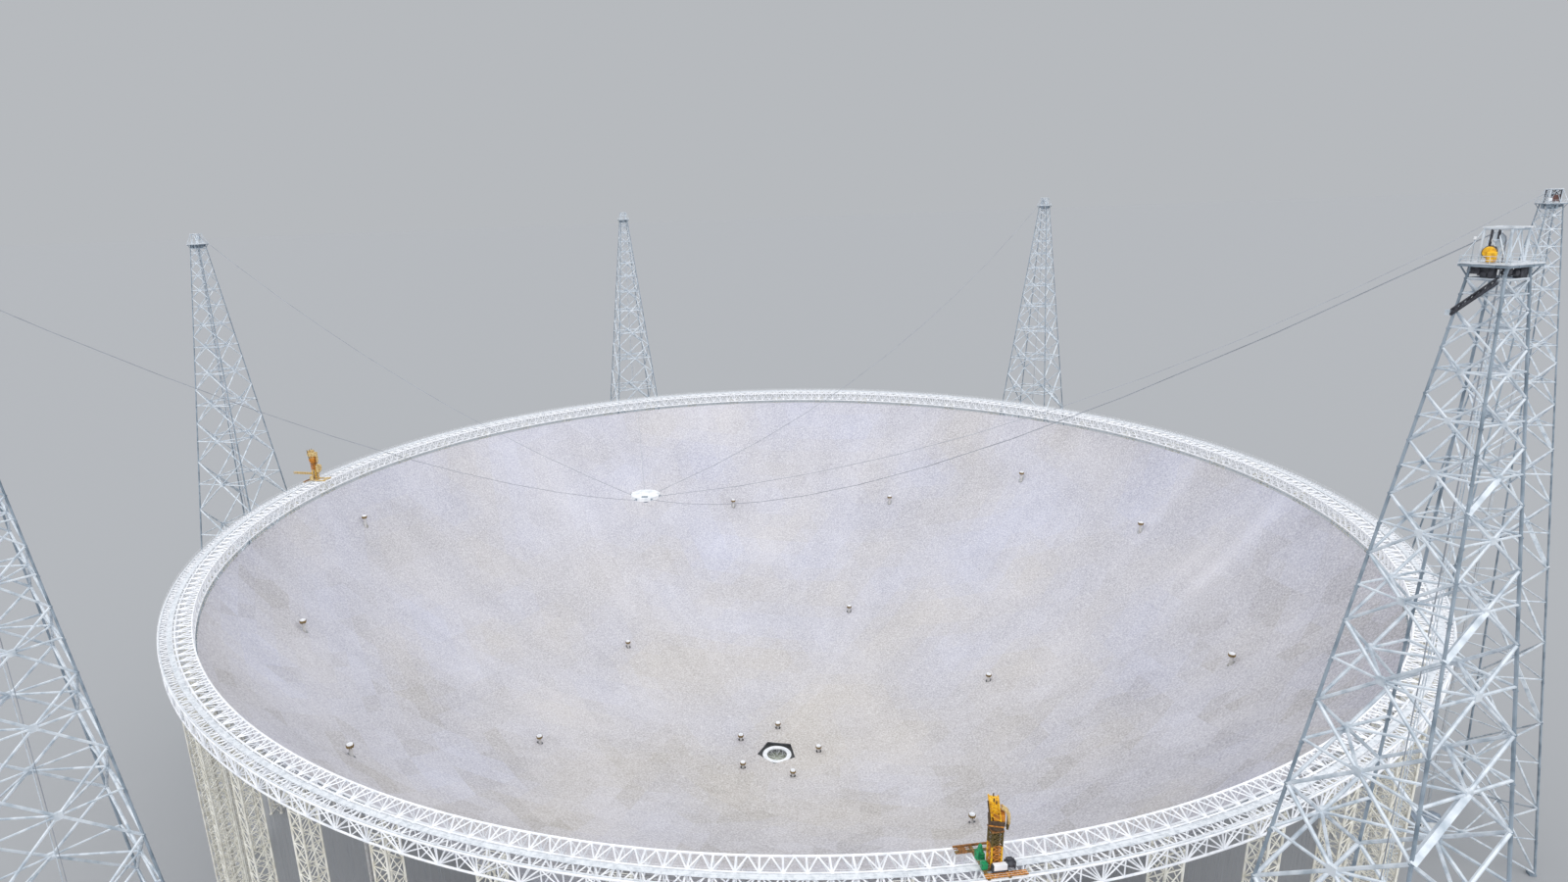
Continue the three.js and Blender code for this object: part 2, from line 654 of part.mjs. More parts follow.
// Slewing part of a derrick: turntable, machinery housing, the raised jib, and an arm beside the mast.
function derrickJib() {
  const jibFoot = SLEW_HEIGHT + HOUSING_HEIGHT;
  const shoulder = new THREE.Vector3(0, -1.2 * M, jibFoot + 1.6 * M);
  const elbow = new THREE.Vector3(0, -SIDE_REACH, jibFoot);
  const solids = [
    solid(plate(polygon(8, SLEW_RADIUS), [], SLEW_HEIGHT + 0.1 * M)),
    box(HOUSING, HOUSING, HOUSING_HEIGHT, 0, 0, SLEW_HEIGHT),
    bar(
      new THREE.Vector3(0, 0, jibFoot - 0.2 * M),
      new THREE.Vector3(0, JIB_LEAN, JIB_TOP),
      JIB_WIDTH / Math.SQRT2,
      4,
    ),
    bar(shoulder, elbow, SIDE_BAR, 4),
    bar(elbow.clone().setZ(jibFoot + SIDE_BAR), elbow.clone().setZ(SIDE_FOOT), SIDE_BAR * 1.3, 4),
  ];
  for (const side of [-1, 1]) {
    const foot = new THREE.Vector3(side * 0.9 * M, JIB_LEAN, JIB_TOP - 0.3 * M);
    solids.push(bar(foot, foot.clone().setZ(JIB_TOP + 1.2 * M), SIDE_BAR, 4));
  }
  return join(solids);
}

function derricks() {
  DERRICKS.forEach((derrick, i) => {
    const azimuth = derrick.mast * DEGREE;
    const place = point(DERRICK_CIRCLE, azimuth, RING_TOP - RING_STRIP / 2 + CHORD_RADIUS + GAP);
    const mast = piece("derrick_mast_" + (i + 1), derrickMast(derrick), YELLOW_PAINT);
    mast.position.copy(place);
    mast.rotation.z = azimuth;
    const jib = piece("derrick_jib_" + (i + 1), derrickJib(), YELLOW_PAINT);
    jib.position.copy(place).setZ(place.z + FOOTING_BEAM + MAST_HEIGHT + GAP);
    jib.rotation.z = SLEW_TURN;
  });
}

reflector();
ringBeam();
towers();
feedCabin();
ropes();
winchHouses();
dockingPlatform();
measuringPiers();
derricks();

export default telescope;
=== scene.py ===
"""Looks of a radio telescope with a fixed spherical bowl, a scale model at 1:20, in metres."""

import json
import math
import random

import bpy
from mathutils import Matrix, Vector, noise

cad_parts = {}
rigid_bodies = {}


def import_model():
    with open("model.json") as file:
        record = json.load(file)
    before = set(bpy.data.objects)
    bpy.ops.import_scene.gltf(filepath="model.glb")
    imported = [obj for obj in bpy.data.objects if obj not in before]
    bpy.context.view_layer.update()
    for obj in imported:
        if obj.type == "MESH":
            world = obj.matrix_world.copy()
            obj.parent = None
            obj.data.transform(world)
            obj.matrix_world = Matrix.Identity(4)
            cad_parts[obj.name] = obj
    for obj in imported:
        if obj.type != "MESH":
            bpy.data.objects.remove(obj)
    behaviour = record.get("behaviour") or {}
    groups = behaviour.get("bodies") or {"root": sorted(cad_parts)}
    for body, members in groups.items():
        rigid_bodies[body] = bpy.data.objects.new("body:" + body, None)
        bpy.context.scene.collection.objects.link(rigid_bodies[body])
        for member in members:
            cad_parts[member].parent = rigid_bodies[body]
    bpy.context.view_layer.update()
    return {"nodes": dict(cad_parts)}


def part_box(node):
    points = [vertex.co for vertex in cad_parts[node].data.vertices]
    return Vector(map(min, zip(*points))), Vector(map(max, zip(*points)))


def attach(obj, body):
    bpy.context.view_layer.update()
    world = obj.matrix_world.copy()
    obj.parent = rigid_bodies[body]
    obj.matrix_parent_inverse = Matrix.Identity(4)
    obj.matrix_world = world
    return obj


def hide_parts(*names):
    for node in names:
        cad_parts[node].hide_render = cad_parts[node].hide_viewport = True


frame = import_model()

# One metre of the real telescope, in the model's metres.
M = 0.05
TURN = 2 * math.pi
ROOT = "telescope"

# Reflector: triangular panels on the grid of an icosahedron whose faces are divided by thirty-two.
SPHERE_RADIUS = 300 * M
BOWL_RADIUS = 250 * M
RIM_HEIGHT = 139.8 * M
SPHERE_CENTRE = RIM_HEIGHT + math.sqrt(SPHERE_RADIUS**2 - BOWL_RADIUS**2)
SECTORS = 5
SECTOR_TURN = TURN / SECTORS
SECTOR_START = math.radians(-170.2)
OPENING_RADIUS = 10.6 * M
GRID_LEVEL = 6
PANEL_GAP = 0.06 * M
PANEL_THICKNESS = 0.1 * M
NET_DEPTH = 0.45 * M
NET_ROPE = 0.09 * M
TIE_ROPE = 0.05 * M
PIER_CUT = 1.5 * M

# Sizes of the marks on the panels: stains, batches of one delivery, and dust.
STAIN_SIZE = 70 * M
BATCH_SIZE = 19 * M
DUST_SIZE = 38 * M

# Ring beam: a square lattice in bays, with a column under every third bay.
RING_TOP = 147 * M
RING_BOTTOM = 141.5 * M
RING_INNER = 250.2 * M
RING_MIDDLE = 256 * M
RING_OUTER = 261.6 * M
BAYS = 150
BAY_TURN = TURN / BAYS
COLUMNS = 50
COLUMN_HALF = 2.5 * M
COLUMN_PANELS = 28
COLUMN_START = 0.3 * M
CHORD = 0.62 * M
RING_BAR = 0.52 * M
RING_BRACE = 0.42 * M
WALKWAY = RING_MIDDLE + 1.6 * M
WALKWAY_WIDTH = 1.7 * M
TOE_BOARD = RING_OUTER - 0.6 * M
TOE_WIDTH = 0.4 * M
RAIL_HEIGHT = 1.15 * M
RAIL = 0.05 * M

# Towers: square and evenly tapered, with crossed braces in panels that grow towards the floor.
TOWERS = 6
TOWER_CIRCLE = 300 * M
TOWER_START = math.radians(51.1)
TOWER_TOP = 281.8 * M
TAPER = 0.0963
TOP_HALF = 2.1 * M
DECK_LEVEL = 276.6 * M
UPPER_NODES = [274.3, 269.6, 263.9, 256.6, 248.9, 239.8, 229.2, 216.6]
LOWER_NODES = [200.7, 182.8, 161.5, 135, 104, 69, 31, 0]
LEG_LEVELS = [height * M for height in UPPER_NODES + LOWER_NODES]
LEG_WIDTH = 0.4 * M
LEG_GROWTH = 0.6 * M
DECK_HALF = 3.6 * M
HATCH_HALF = 1.2 * M
HEAD_RAIL = 1.1 * M
CROWN_HALF = 2.05 * M
WHEEL_DROP = 2 * M
WHEEL_RADIUS = M
LADDER_PLACE = 0.9 * M
LADDER_HALF = 0.35 * M
LADDER_RUNGS = 140
# Places, counted from zero, of the two towers at the right, with machines that only they have.
HOIST_TOWER = 4
HOUSING_TOWER = 5

# Feed cabin: its radius, and how far its drum lies over the cabin's middle.
CABIN_RADIUS = 6.5 * M
CABIN_RAISE = 0.6 * M

# Winch houses: length, width, the height of the walls and the ridge, and the roof's pitch.
HOUSE_LENGTH = 12 * M
HOUSE_WIDTH = 8 * M
HOUSE_WALL = 4.5 * M
HOUSE_RIDGE = 6 * M
HOUSE_RIBS = 30
ROOF_SLOPE = 1.5 / 4

# Docking ring, its legs, and the circle that they stand on.
DOCK_RADIUS = 7.6 * M
DOCK_CIRCLE = 6.1 * M
DOCK_LEGS = 12

# Measuring piers: the post, the collar and the white head.
POST_RADIUS = 0.7 * M
COLLAR_RADIUS = 1.5 * M
HEAD_RADIUS = 1.25 * M

# Derricks: azimuth of each mast, and how far its footing reaches to both sides, in real metres.
DERRICK_CIRCLE = 257.5 * M
DERRICK_AZIMUTHS = [math.radians(-79.5), math.radians(169.5)]
FOOTING_REACHES = [(6.8, 6.2), (4, 6.2)]
SLEW_TURN = math.radians(80)
MAST_HALF = 1.4 * M
MAST_SPLICE = 6 * M
SOCKET_DEPTH = 1 * M

# The camera stands where the photograph was taken from, over the near side of the ring.
CAMERA_PLACE = Vector((0, -424.5, 147 + 143.1)) * M
CAMERA_TURN = (math.radians(74.13), math.radians(2.09), math.radians(3.53))
CAMERA_LENS = 20.97
CAMERA_SHIFT = (0.0483, 0.0104)

# Light: the even sky, and the two lamps' power. The floor's grey makes it meet the sky without an edge.
SKY_TONE = "#E9EDF2"
SKY_STRENGTH = 0.58
TOP_LAMP = 2.1
FILL_LAMP = 0.65
FLOOR_TONE = "#A6A8AB"
FLOOR_SIZE = 1200

# The corners of a square of side two, in turn.
SQUARE = [(1, 1), (-1, 1), (-1, -1), (1, -1)]


def polar(radius, angle, height=0.0):
    """A point by its distance from the bowl's axis, azimuth and height."""
    return Vector((radius * math.cos(angle), radius * math.sin(angle), height))


def up(height):
    return Vector((0, 0, height))


def tower_azimuth(index):
    return TOWER_START + index * TURN / TOWERS


def cabin_azimuth(foot):
    """The direction from a tower's foot to the feed cabin."""
    low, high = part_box("feed_cabin")
    cabin = (low + high) / 2
    return math.atan2(cabin.y - foot.y, cabin.x - foot.x)


# Materials

def hex_colour(text):
    """An sRGB colour such as #C8C8CC as a linear colour."""
    channels = [int(text[i : i + 2], 16) / 255 for i in (1, 3, 5)]
    linear = [c / 12.92 if c <= 0.04045 else ((c + 0.055) / 1.055) ** 2.4 for c in channels]
    return (*linear, 1.0)


def add_node(tree, kind, inputs=None, **settings):
    """Adds a shader node, gives it its settings, and sets or links its inputs."""
    made = tree.nodes.new("ShaderNode" + kind)
    for name, value in settings.items():
        setattr(made, name, value)
    for socket, value in (inputs or {}).items():
        if isinstance(value, bpy.types.NodeSocket):
            tree.links.new(value, made.inputs[socket])
        else:
            made.inputs[socket].default_value = value
    return made


def new_material(name, metallic, roughness):
    """A material with its shader's fixed values set. Returns it with its tree, shader and place."""
    material = bpy.data.materials.new(name)
    material.use_nodes = True
    tree = material.node_tree
    shader = tree.nodes["Principled BSDF"]
    shader.inputs["Metallic"].default_value = metallic
    shader.inputs["Roughness"].default_value = roughness
    place = tree.nodes.new("ShaderNodeTexCoord").outputs["Object"]
    return material, tree, shader, place


def two_tone(tree, factor, low, high, start=0.35, end=0.65):
    """A colour that goes from low to high where the factor goes from start to end."""
    ramp = add_node(tree, "ValToRGB", {"Fac": factor})
    ramp.color_ramp.elements[0].position = start
    ramp.color_ramp.elements[0].color = hex_colour(low)
    ramp.color_ramp.elements[1].position = end
    ramp.color_ramp.elements[1].color = hex_colour(high)
    return ramp.outputs["Color"]


def worn_paint(name, clean, dirty, metallic=0.0, roughness=0.5, patch=2.5 * M, grain=0.12 * M):
    """Paint or zinc on steel, with weathered patches of one size and a finer grain in its gloss."""
    # Patches are 500 to 6,000 mm wide on the real piece. The brush marks and the zinc's crystals of a
    # few millimetres are too fine to show, so the grain is drawn at 120 mm.
    material, tree, shader, place = new_material(name, metallic, roughness)
    patches = add_node(tree, "TexNoise", {"Vector": place, "Scale": 1 / patch, "Detail": 4.0})
    colour = two_tone(tree, patches.outputs["Fac"], dirty, clean, 0.32, 0.58)
    tree.links.new(colour, shader.inputs["Base Color"])
    fine = add_node(tree, "TexNoise", {"Vector": place, "Scale": 1 / grain, "Detail": 2.0})
    relief = {"Height": fine.outputs["Fac"], "Strength": 0.15, "Distance": 0.01 * M}
    bump = add_node(tree, "Bump", relief)
    tree.links.new(bump.outputs["Normal"], shader.inputs["Normal"])
    return material


def wash_streaks(tree, azimuth, height):
    """Broad light streaks where rain washes the rim, at about 4 and 19 degrees, fading downwards."""
    limits = {"Value": azimuth, "From Min": math.radians(-4), "From Max": math.radians(28)}
    share = add_node(tree, "MapRange", limits)
    bands = add_node(tree, "ValToRGB", {"Fac": share.outputs["Result"]})
    stops = bands.color_ramp.elements
    stops[0].color = stops[1].color = (0, 0, 0, 1)
    bright = {0.16: 0.0, 0.24: 1.0, 0.31: 0.1, 0.38: 0.5, 0.44: 0.0, 0.66: 0.0, 0.72: 0.6, 0.8: 0.0}
    for place, level in bright.items():
        stops.new(place).color = (level, level, level, 1)
    upper = add_node(tree, "MapRange", {"Value": height, "From Min": 70 * M, "From Max": 100 * M})
    return add_node(
        tree, "Math", {0: bands.outputs["Color"], 1: upper.outputs["Result"]}, operation="MULTIPLY"
    ).outputs["Value"]


def panel_material():
    """Perforated aluminium sheet, dulled by the weather: lavender grey, with stains and rain streaks."""
    material, tree, shader, place = new_material("perforated_aluminium", 0.25, 0.75)
    tone = add_node(tree, "Attribute", attribute_name="tone").outputs["Fac"]
    warmth = add_node(tree, "Attribute", attribute_name="warmth").outputs["Fac"]
    # Dust lies in clouds some 45 m across, and rain leaves streaks about 3 degrees wide down the sides.
    dust = {"Vector": place, "Scale": 1 / (45 * M), "Detail": 6.0, "Roughness": 0.6}
    clouds = add_node(tree, "TexNoise", dust)
    split = add_node(tree, "SeparateXYZ", {"Vector": place})
    azimuth = add_node(tree, "Math", {0: split.outputs["Y"], 1: split.outputs["X"]}, operation="ARCTAN2")
    azimuth = azimuth.outputs["Value"]
    around = {"W": azimuth, "Scale": 12.0, "Detail": 3.0}
    streaks = add_node(tree, "TexNoise", around, noise_dimensions="1D")
    marks = {"Factor": 0.24, "A": clouds.outputs["Fac"], "B": streaks.outputs["Fac"]}
    soft = add_node(tree, "Mix", marks, data_type="FLOAT").outputs["Result"]
    blend = {"Factor": 0.5, "A": soft, "B": tone}
    value = add_node(tree, "Mix", blend, data_type="FLOAT").outputs["Result"]
    washed = {0: wash_streaks(tree, azimuth, split.outputs["Z"]), 1: 0.18, 2: value}
    value = add_node(tree, "Math", washed, operation="MULTIPLY_ADD").outputs["Value"]
    cool = two_tone(tree, value, "#B7B7C2", "#D8D9E5", 0.25, 0.75)
    warm = two_tone(tree, value, "#B9B5B1", "#D9D4D0", 0.25, 0.75)
    stained = add_node(tree, "Mix", {"Factor": warmth, "A": cool, "B": warm}, data_type="RGBA")
    # Holes of 5 mm are too fine to show, so the sheet's speckle is drawn at 800 mm of the real panel.
    speckle = add_node(tree, "TexNoise", {"Vector": place, "Scale": 1 / (0.8 * M), "Detail": 2.0})
    sides = {"Factor": 0.7, "A": stained.outputs["Result"], "B": speckle.outputs["Fac"]}
    grain = add_node(tree, "Mix", sides, data_type="RGBA", blend_type="OVERLAY")
    tree.links.new(grain.outputs["Result"], shader.inputs["Base Color"])
    return material


def make_materials():
    """Every finish, by a short name. Each has its clean and its dirty colour, metal and roughness."""
    return {
        "panel": panel_material(),
        # Epoxy paint on steel tube: clean white, with a little grey dust in soft patches.
        "ring": worn_paint("white_epoxy_paint", "#FAFBFE", "#E6E9EF", 0.0, 0.5),
        # The same paint on the columns, matt and painted a darker cream than on the ring as painted
        # shade under the ring beam.
        "column": worn_paint("shaded_cream_paint", "#F1EFE6", "#D6D2C4", 0.0, 0.6),
        # Pressed steel grating, zinc coated: pale and matt from a distance.
        "deck": worn_paint("galvanised_grating", "#E3E7EC", "#C3C9D0", 0.1, 0.65, 1.2 * M),
        # Hot-dip galvanised tube as lit and shaded copies: the legs painted darker and slate blue as
        # painted shade, the thinner bars painted bright as painted light.
        "leg": worn_paint("shaded_galvanised_tube", "#9DAAB6", "#73828F", 0.3, 0.5, 4 * M),
        "brace": worn_paint("lit_galvanised_tube", "#DEE5EC", "#AEBAC5", 0.2, 0.45, 3 * M),
        # Rust-brown primer left as the last coat on the machine rooms at the top.
        "primer": worn_paint("red_brown_primer", "#6E4B45", "#463432", 0.0, 0.75, 0.8 * M),
        # Dark alkyd paint on machinery, with greasy darker patches. Under the hoist tower's deck it
        # stands as painted shade.
        "dark": worn_paint("dark_machine_paint", "#4C4D54", "#2B2C33", 0.2, 0.6, 0.6 * M),
        # Drawn steel wire: even and light grey.
        "rope": worn_paint("drawn_steel_wire", "#AFB4BC", "#9297A0", 0.4, 0.5, 6 * M),
        # Cast concrete: pale warm grey, rough, with darker runs.
        "concrete": worn_paint("cast_concrete", "#D5D3D2", "#B5B2AE", 0.0, 0.85, 1 * M),
        # Cement screed with algae in it: a dull grey green where the floor stays damp.
        "screed": worn_paint("damp_cement_screed", "#B4B9AC", "#94998B", 0.0, 0.8, 1.5 * M),
        # Ochre primer on small steel parts, rubbed through to brown. On the piers' collars its dark
        # brown is partly painted shade under the heads.
        "ochre": worn_paint("ochre_primer", "#8C7346", "#54452C", 0.0, 0.7, 0.5 * M),
        # Gel coat on glass fibre covers: smooth and bright white.
        "cap": worn_paint("white_gel_coat", "#F5F6F8", "#DFE3E8", 0.0, 0.35),
        # Enamel on the derricks: deep yellow that has faded to orange in places.
        "yellow": worn_paint("crane_yellow_enamel", "#F6C022", "#B87A10", 0.0, 0.45, 0.7 * M),
        "orange": worn_paint("faded_orange_enamel", "#CC8422", "#875018", 0.0, 0.55, 0.7 * M),
        # Old paint under gear grease on the slewing parts: dark brown and a little glossy.
        "umber": worn_paint("greased_brown_enamel", "#5B4734", "#36291D", 0.1, 0.45, 0.5 * M),
        # Grease and rust have turned the upper mast olive brown.
        "olive": worn_paint("greasy_olive_enamel", "#6B5A2A", "#3E3318", 0.1, 0.55, 0.5 * M),
        # Bare steel beams and plates that rust under foot.
        "rust": worn_paint("rusty_steel_plate", "#9A6A3C", "#5F4127", 0.1, 0.8, 0.5 * M),
        # Ochre enamel bleached by the sun: pale and chalky, on the derrick at the far left.
        "sand": worn_paint("pale_ochre_enamel", "#D8BE86", "#B0915A", 0.0, 0.5, 0.8 * M),
        # Enamel on the pumps: a strong blue green with a soft gloss, greasy in patches.
        "green": worn_paint("machine_green_enamel", "#1C9A62", "#0F5A3C", 0.0, 0.4, 0.6 * M),
        # Coated sheet steel on the sheds: satin and evenly coloured, white walls and blue-grey roofs.
        "house": worn_paint("coated_sheet_white", "#ECEEEF", "#CDD0D2", 0.0, 0.5, 2 * M),
        "roof": worn_paint("coated_sheet_blue_grey", "#8C99A8", "#6B7786", 0.1, 0.5, 2 * M),
        # Tinted glass in the sheds' windows and doors: nearly black, with clear highlights.
        "glass": worn_paint("tinted_glass", "#39454F", "#2B343C", 0.0, 0.12, 3 * M),
    }


# Modelling helpers

def deselect():
    bpy.ops.object.select_all(action="DESELECT")


def only(piece):
    """Selects one object and makes it active."""
    deselect()
    piece.select_set(True)
    bpy.context.view_layer.objects.active = piece


def edit_all(piece):
    """Opens a piece in edit mode with all of it selected."""
    only(piece)
    bpy.ops.object.mode_set(mode="EDIT")
    bpy.ops.mesh.select_all(action="SELECT")


def leave_edit():
    bpy.ops.object.mode_set(mode="OBJECT")


def begin(name):
    """Opens a new piece in edit mode at the origin, with nothing in it."""
    deselect()
    bpy.ops.mesh.primitive_plane_add(size=M)
    piece = bpy.context.object
    piece.name = piece.data.name = name
    bpy.ops.object.mode_set(mode="EDIT")
    bpy.ops.mesh.delete(type="VERT")
    return piece


def end(piece, material):
    """Closes a piece and gives it its material."""
    leave_edit()
    piece.data.materials.append(MATERIALS[material])
    return piece


def bar(start, stop, width, sides=4):
    """Adds a straight bar between two points to the piece in edit mode."""
    along = Vector(stop) - Vector(start)
    bpy.ops.mesh.primitive_cylinder_add(
        vertices=sides,
        radius=width / 2,
        depth=along.length,
        location=(Vector(stop) + Vector(start)) / 2,
        rotation=along.to_track_quat("Z", "Y").to_euler(),
    )


def block(centre, size, turn=0.0):
    """Adds a box to the piece in edit mode."""
    bpy.ops.mesh.primitive_cube_add(size=1, location=centre, rotation=(0, 0, turn), scale=size)


def drum(centre, radius, height, sides=24, rotation=(0, 0, 0)):
    """Adds a short cylinder to the piece in edit mode."""
    bpy.ops.mesh.primitive_cylinder_add(
        vertices=sides, radius=radius, depth=height, location=centre, rotation=rotation
    )


def apply_modifier(piece, kind, **settings):
    """Adds a modifier with its settings and applies it."""
    only(piece)
    modifier = piece.modifiers.new(kind.lower(), kind)
    for name, value in settings.items():
        setattr(modifier, name, value)
    bpy.ops.object.modifier_apply(modifier=modifier.name)
    return piece


def round_off(piece, width, segments=2):
    """Rounds the hard edges of a piece."""
    return apply_modifier(piece, "BEVEL", width=width, segments=segments, limit_method="ANGLE")


def repeat_round(piece, count, angle):
    """Repeats a piece around the bowl's axis, one angle apart."""
    bpy.ops.object.empty_add(rotation=(0, 0, angle))
    pivot = bpy.context.object
    apply_modifier(
        piece,
        "ARRAY",
        count=count,
        use_relative_offset=False,
        use_object_offset=True,
        offset_object=pivot,
    )
    bpy.data.objects.remove(pivot)
    return piece


def join(name, parts):
    """Joins several objects into one piece."""
    deselect()
    for part in parts:
        part.select_set(True)
    bpy.context.view_layer.objects.active = parts[0]
    bpy.ops.object.join()
    parts[0].name = parts[0].data.name = name
    return parts[0]


def copy_of(piece, name, matrix=Matrix.Identity(4)):
    """A copy with its own mesh, put in its place by a matrix."""
    made = piece.copy()
    made.data = piece.data.copy()
    made.name = made.data.name = name
    bpy.context.scene.collection.objects.link(made)
    made.data.transform(matrix)
    return made


def ride(piece, nodes=(), body=ROOT):
    """Fixes a piece to its body, and hides the plain solids that it stands for."""
    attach(piece, body)
    if nodes:
        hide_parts(*nodes)


def remove(*pieces):
    for piece in pieces:
        bpy.data.objects.remove(piece)


def wires(piece, width):
    """Turns a piece's edges into thin ropes."""
    edit_all(piece)
    bpy.ops.mesh.delete(type="ONLY_FACE")
    leave_edit()
    bpy.ops.object.convert(target="CURVE")
    piece = bpy.context.object
    piece.data.bevel_depth = width / 2
    piece.data.bevel_resolution = 0
    bpy.ops.object.convert(target="MESH")
    return bpy.context.object


# Reflector

def first_sector():
    """One fifth of the grid, from the five-sided opening to the rim, without thickness."""
    deselect()
    bpy.ops.mesh.primitive_ico_sphere_add(
        subdivisions=GRID_LEVEL, radius=SPHERE_RADIUS, location=(0, 0, SPHERE_CENTRE)
    )
    sector = bpy.context.object
    bpy.ops.object.transform_apply()
    # The sphere's lowest corner joins five faces, and one of their joints lies at 180 degrees.
    sector.data.transform(Matrix.Rotation(SECTOR_START + math.pi, 4, "Z"))
    middle = SECTOR_START + SECTOR_TURN / 2
    edit_all(sector)
    bpy.ops.mesh.bisect(plane_co=(0, 0, RIM_HEIGHT), plane_no=(0, 0, 1), clear_outer=True)
    bpy.ops.mesh.select_all(action="DESELECT")
    leave_edit()
    lowest = min(sector.data.vertices, key=lambda v: v.co.z)
    for face in sector.data.polygons:
        away = abs(math.remainder(math.atan2(face.center.y, face.center.x) - middle, TURN))
        face.select = away > SECTOR_TURN / 2 or lowest.index in face.vertices
    bpy.ops.object.mode_set(mode="EDIT")
    bpy.ops.mesh.delete(type="FACE")
    # The panels next to the opening are cut along its straight side.
    side = polar(OPENING_RADIUS * math.cos(SECTOR_TURN / 2), middle)
    bpy.ops.mesh.select_all(action="SELECT")
    bpy.ops.mesh.bisect(plane_co=side, plane_no=side.normalized(), clear_inner=True)
    leave_edit()
    return sector


def panel_tone(place, rng):
    """Tone and warmth of a panel: its batch, drawn stronger on the near side as a painted sheen, large
    stains, painted shade and light by its side of the bowl, and its own chance.
    """
    spot = place / STAIN_SIZE
    stain = noise.noise(spot) + noise.noise(spot * 2.3 + Vector((7, 3, 1))) * 0.5
    batch = noise.noise(place / BATCH_SIZE + Vector((3, 9, 2)))
    # The batches' step is weighted towards the near side, where it stands as a painted sheen.
    near = min(max((60 * M - place.y) / (120 * M), 0.15), 1)
    step = near * (0.1 if batch > 0.2 else -0.2 if batch < -0.26 else 0.0)
    # Painted shade towards the near lower right, painted light at the left, and darker towards the far
    # side.
    shade = max(0.0, (0.42 * place.x - 0.88 * place.y) / BOWL_RADIUS) ** 2
    left = max(0.0, -place.x / BOWL_RADIUS)
    far = max(0.0, place.y / BOWL_RADIUS)
    tone = 0.5 + 0.14 * stain + step - 0.55 * shade + 0.1 * left - 0.1 * far + rng.uniform(-0.04, 0.04)
    middle = math.exp(-((place.x / (150 * M)) ** 2) - ((place.y + 10 * M) / (120 * M)) ** 2)
    dust = noise.noise(place / DUST_SIZE + Vector((1, 5, 8)))
    # The painted shade also makes the panels a little warmer.
    warmth = 0.25 + 0.62 * middle + 0.12 * shade + 0.5 * dust - 0.6 * step
    return min(max(tone, 0.0), 1.0), min(max(warmth, 0.0), 1.0)


def pier_cutter():
    """The posts that the reflector is cut for."""
    cutter = begin("pier_cutter")
    for name in sorted(frame["nodes"]):
        if name.startswith("measuring_pier"):
            low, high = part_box(name)
            drum(((low.x + high.x) / 2, (low.y + high.y) / 2, high.z / 2), PIER_CUT, high.z * 1.2, 12)
    leave_edit()
    return cutter


def reflector():
    """Five sectors of panels, with their rope net and its ties to the floor behind them."""
    master = first_sector()
    cutter = pier_cutter()
    rng = random.Random(7)
    for i in range(SECTORS):
        turn = Matrix.Rotation(i * SECTOR_TURN, 4, "Z")
        panels = copy_of(master, f"reflector_panels_{i + 1}", turn)
        tones = [panel_tone(face.center, rng) for face in panels.data.polygons]
        for k, name in enumerate(("tone", "warmth")):
            layer = panels.data.attributes.new(name, "FLOAT", "FACE")
            layer.data.foreach_set("value", [pair[k] for pair in tones])
        edit_all(panels)
        bpy.ops.mesh.inset(use_individual=True, thickness=PANEL_GAP / 2)
        bpy.ops.mesh.select_all(action="INVERT")
        bpy.ops.mesh.delete(type="FACE")
        leave_edit()
        apply_modifier(panels, "SOLIDIFY", thickness=PANEL_THICKNESS, offset=1)
        apply_modifier(panels, "BOOLEAN", operation="DIFFERENCE", object=cutter, solver="EXACT")
        panels.data.materials.append(MATERIALS["panel"])
        ride(panels, [f"reflector_sector_{i + 1}"])
        net = copy_of(master, f"rope_net_{i + 1}", turn)
        net = rope_net(net)
        net.name = net.data.name = f"rope_net_{i + 1}"
        net.data.materials.append(MATERIALS["rope"])
        ride(net)
    remove(master, cutter)


def rope_net(net):
    """Ropes along the joints of the panels, behind them, with a tie from each knot to the floor."""
    edit_all(net)
    grown = 1 + (NET_DEPTH + PANEL_THICKNESS) / SPHERE_RADIUS
    centre = (0, 0, SPHERE_CENTRE)
    bpy.ops.transform.resize(value=(grown, grown, grown), center_override=centre)
    leave_edit()
    ties = copy_of(net, "ties")
    net = wires(net, NET_ROPE)
    edit_all(ties)
    bpy.ops.mesh.delete(type="EDGE_FACE")
    bpy.ops.mesh.select_all(action="SELECT")
    bpy.ops.mesh.extrude_vertices_move()
    bpy.ops.transform.resize(value=(1, 1, 0), center_override=(0, 0, 0))
    leave_edit()
    ties = wires(ties, TIE_ROPE)
    return join("rope_net", [net, ties])


# Ring beam

def ring_bay():
    """One bay: chords and frames, with fans on the top and the inner side and a wide one outside."""
    half = BAY_TURN / 2
    quarter = BAY_TURN / 4
    top = RING_TOP - CHORD / 2
    low = RING_BOTTOM + CHORD / 2
    inner, outer = RING_INNER + CHORD / 2, RING_OUTER - CHORD / 2
    braces = begin("ring_braces")
    for k in range(2):
        angle = k * half
        for radius in (inner, RING_MIDDLE, outer):
            for height in (top, low):
                bar(polar(radius, angle, height), polar(radius, angle + half, height), CHORD, 6)
            bar(polar(radius, angle, low), polar(radius, angle, top), RING_BRACE)
        bar(polar(inner, angle, top), polar(outer, angle, top), RING_BAR)
        bar(polar(inner, angle, low), polar(outer, angle, low), RING_BRACE)
        for step in (-quarter, quarter):
            for side in (inner, outer):
                bar(polar(RING_MIDDLE, angle, top), polar(side, angle + step, top), RING_BRACE)
            bar(polar(inner, angle, low), polar(inner, angle + step, top), RING_BRACE)
    for step in (-half, -quarter, quarter, half):
        bar(polar(outer, 0, low), polar(outer, step, top), RING_BRACE)
    for side in (inner, outer):
        bar(polar(RING_MIDDLE, half, low), polar(side, 0, low), RING_BRACE)
        bar(polar(RING_MIDDLE, half, low), polar(side, BAY_TURN, low), RING_BRACE)
    return end(braces, "ring")


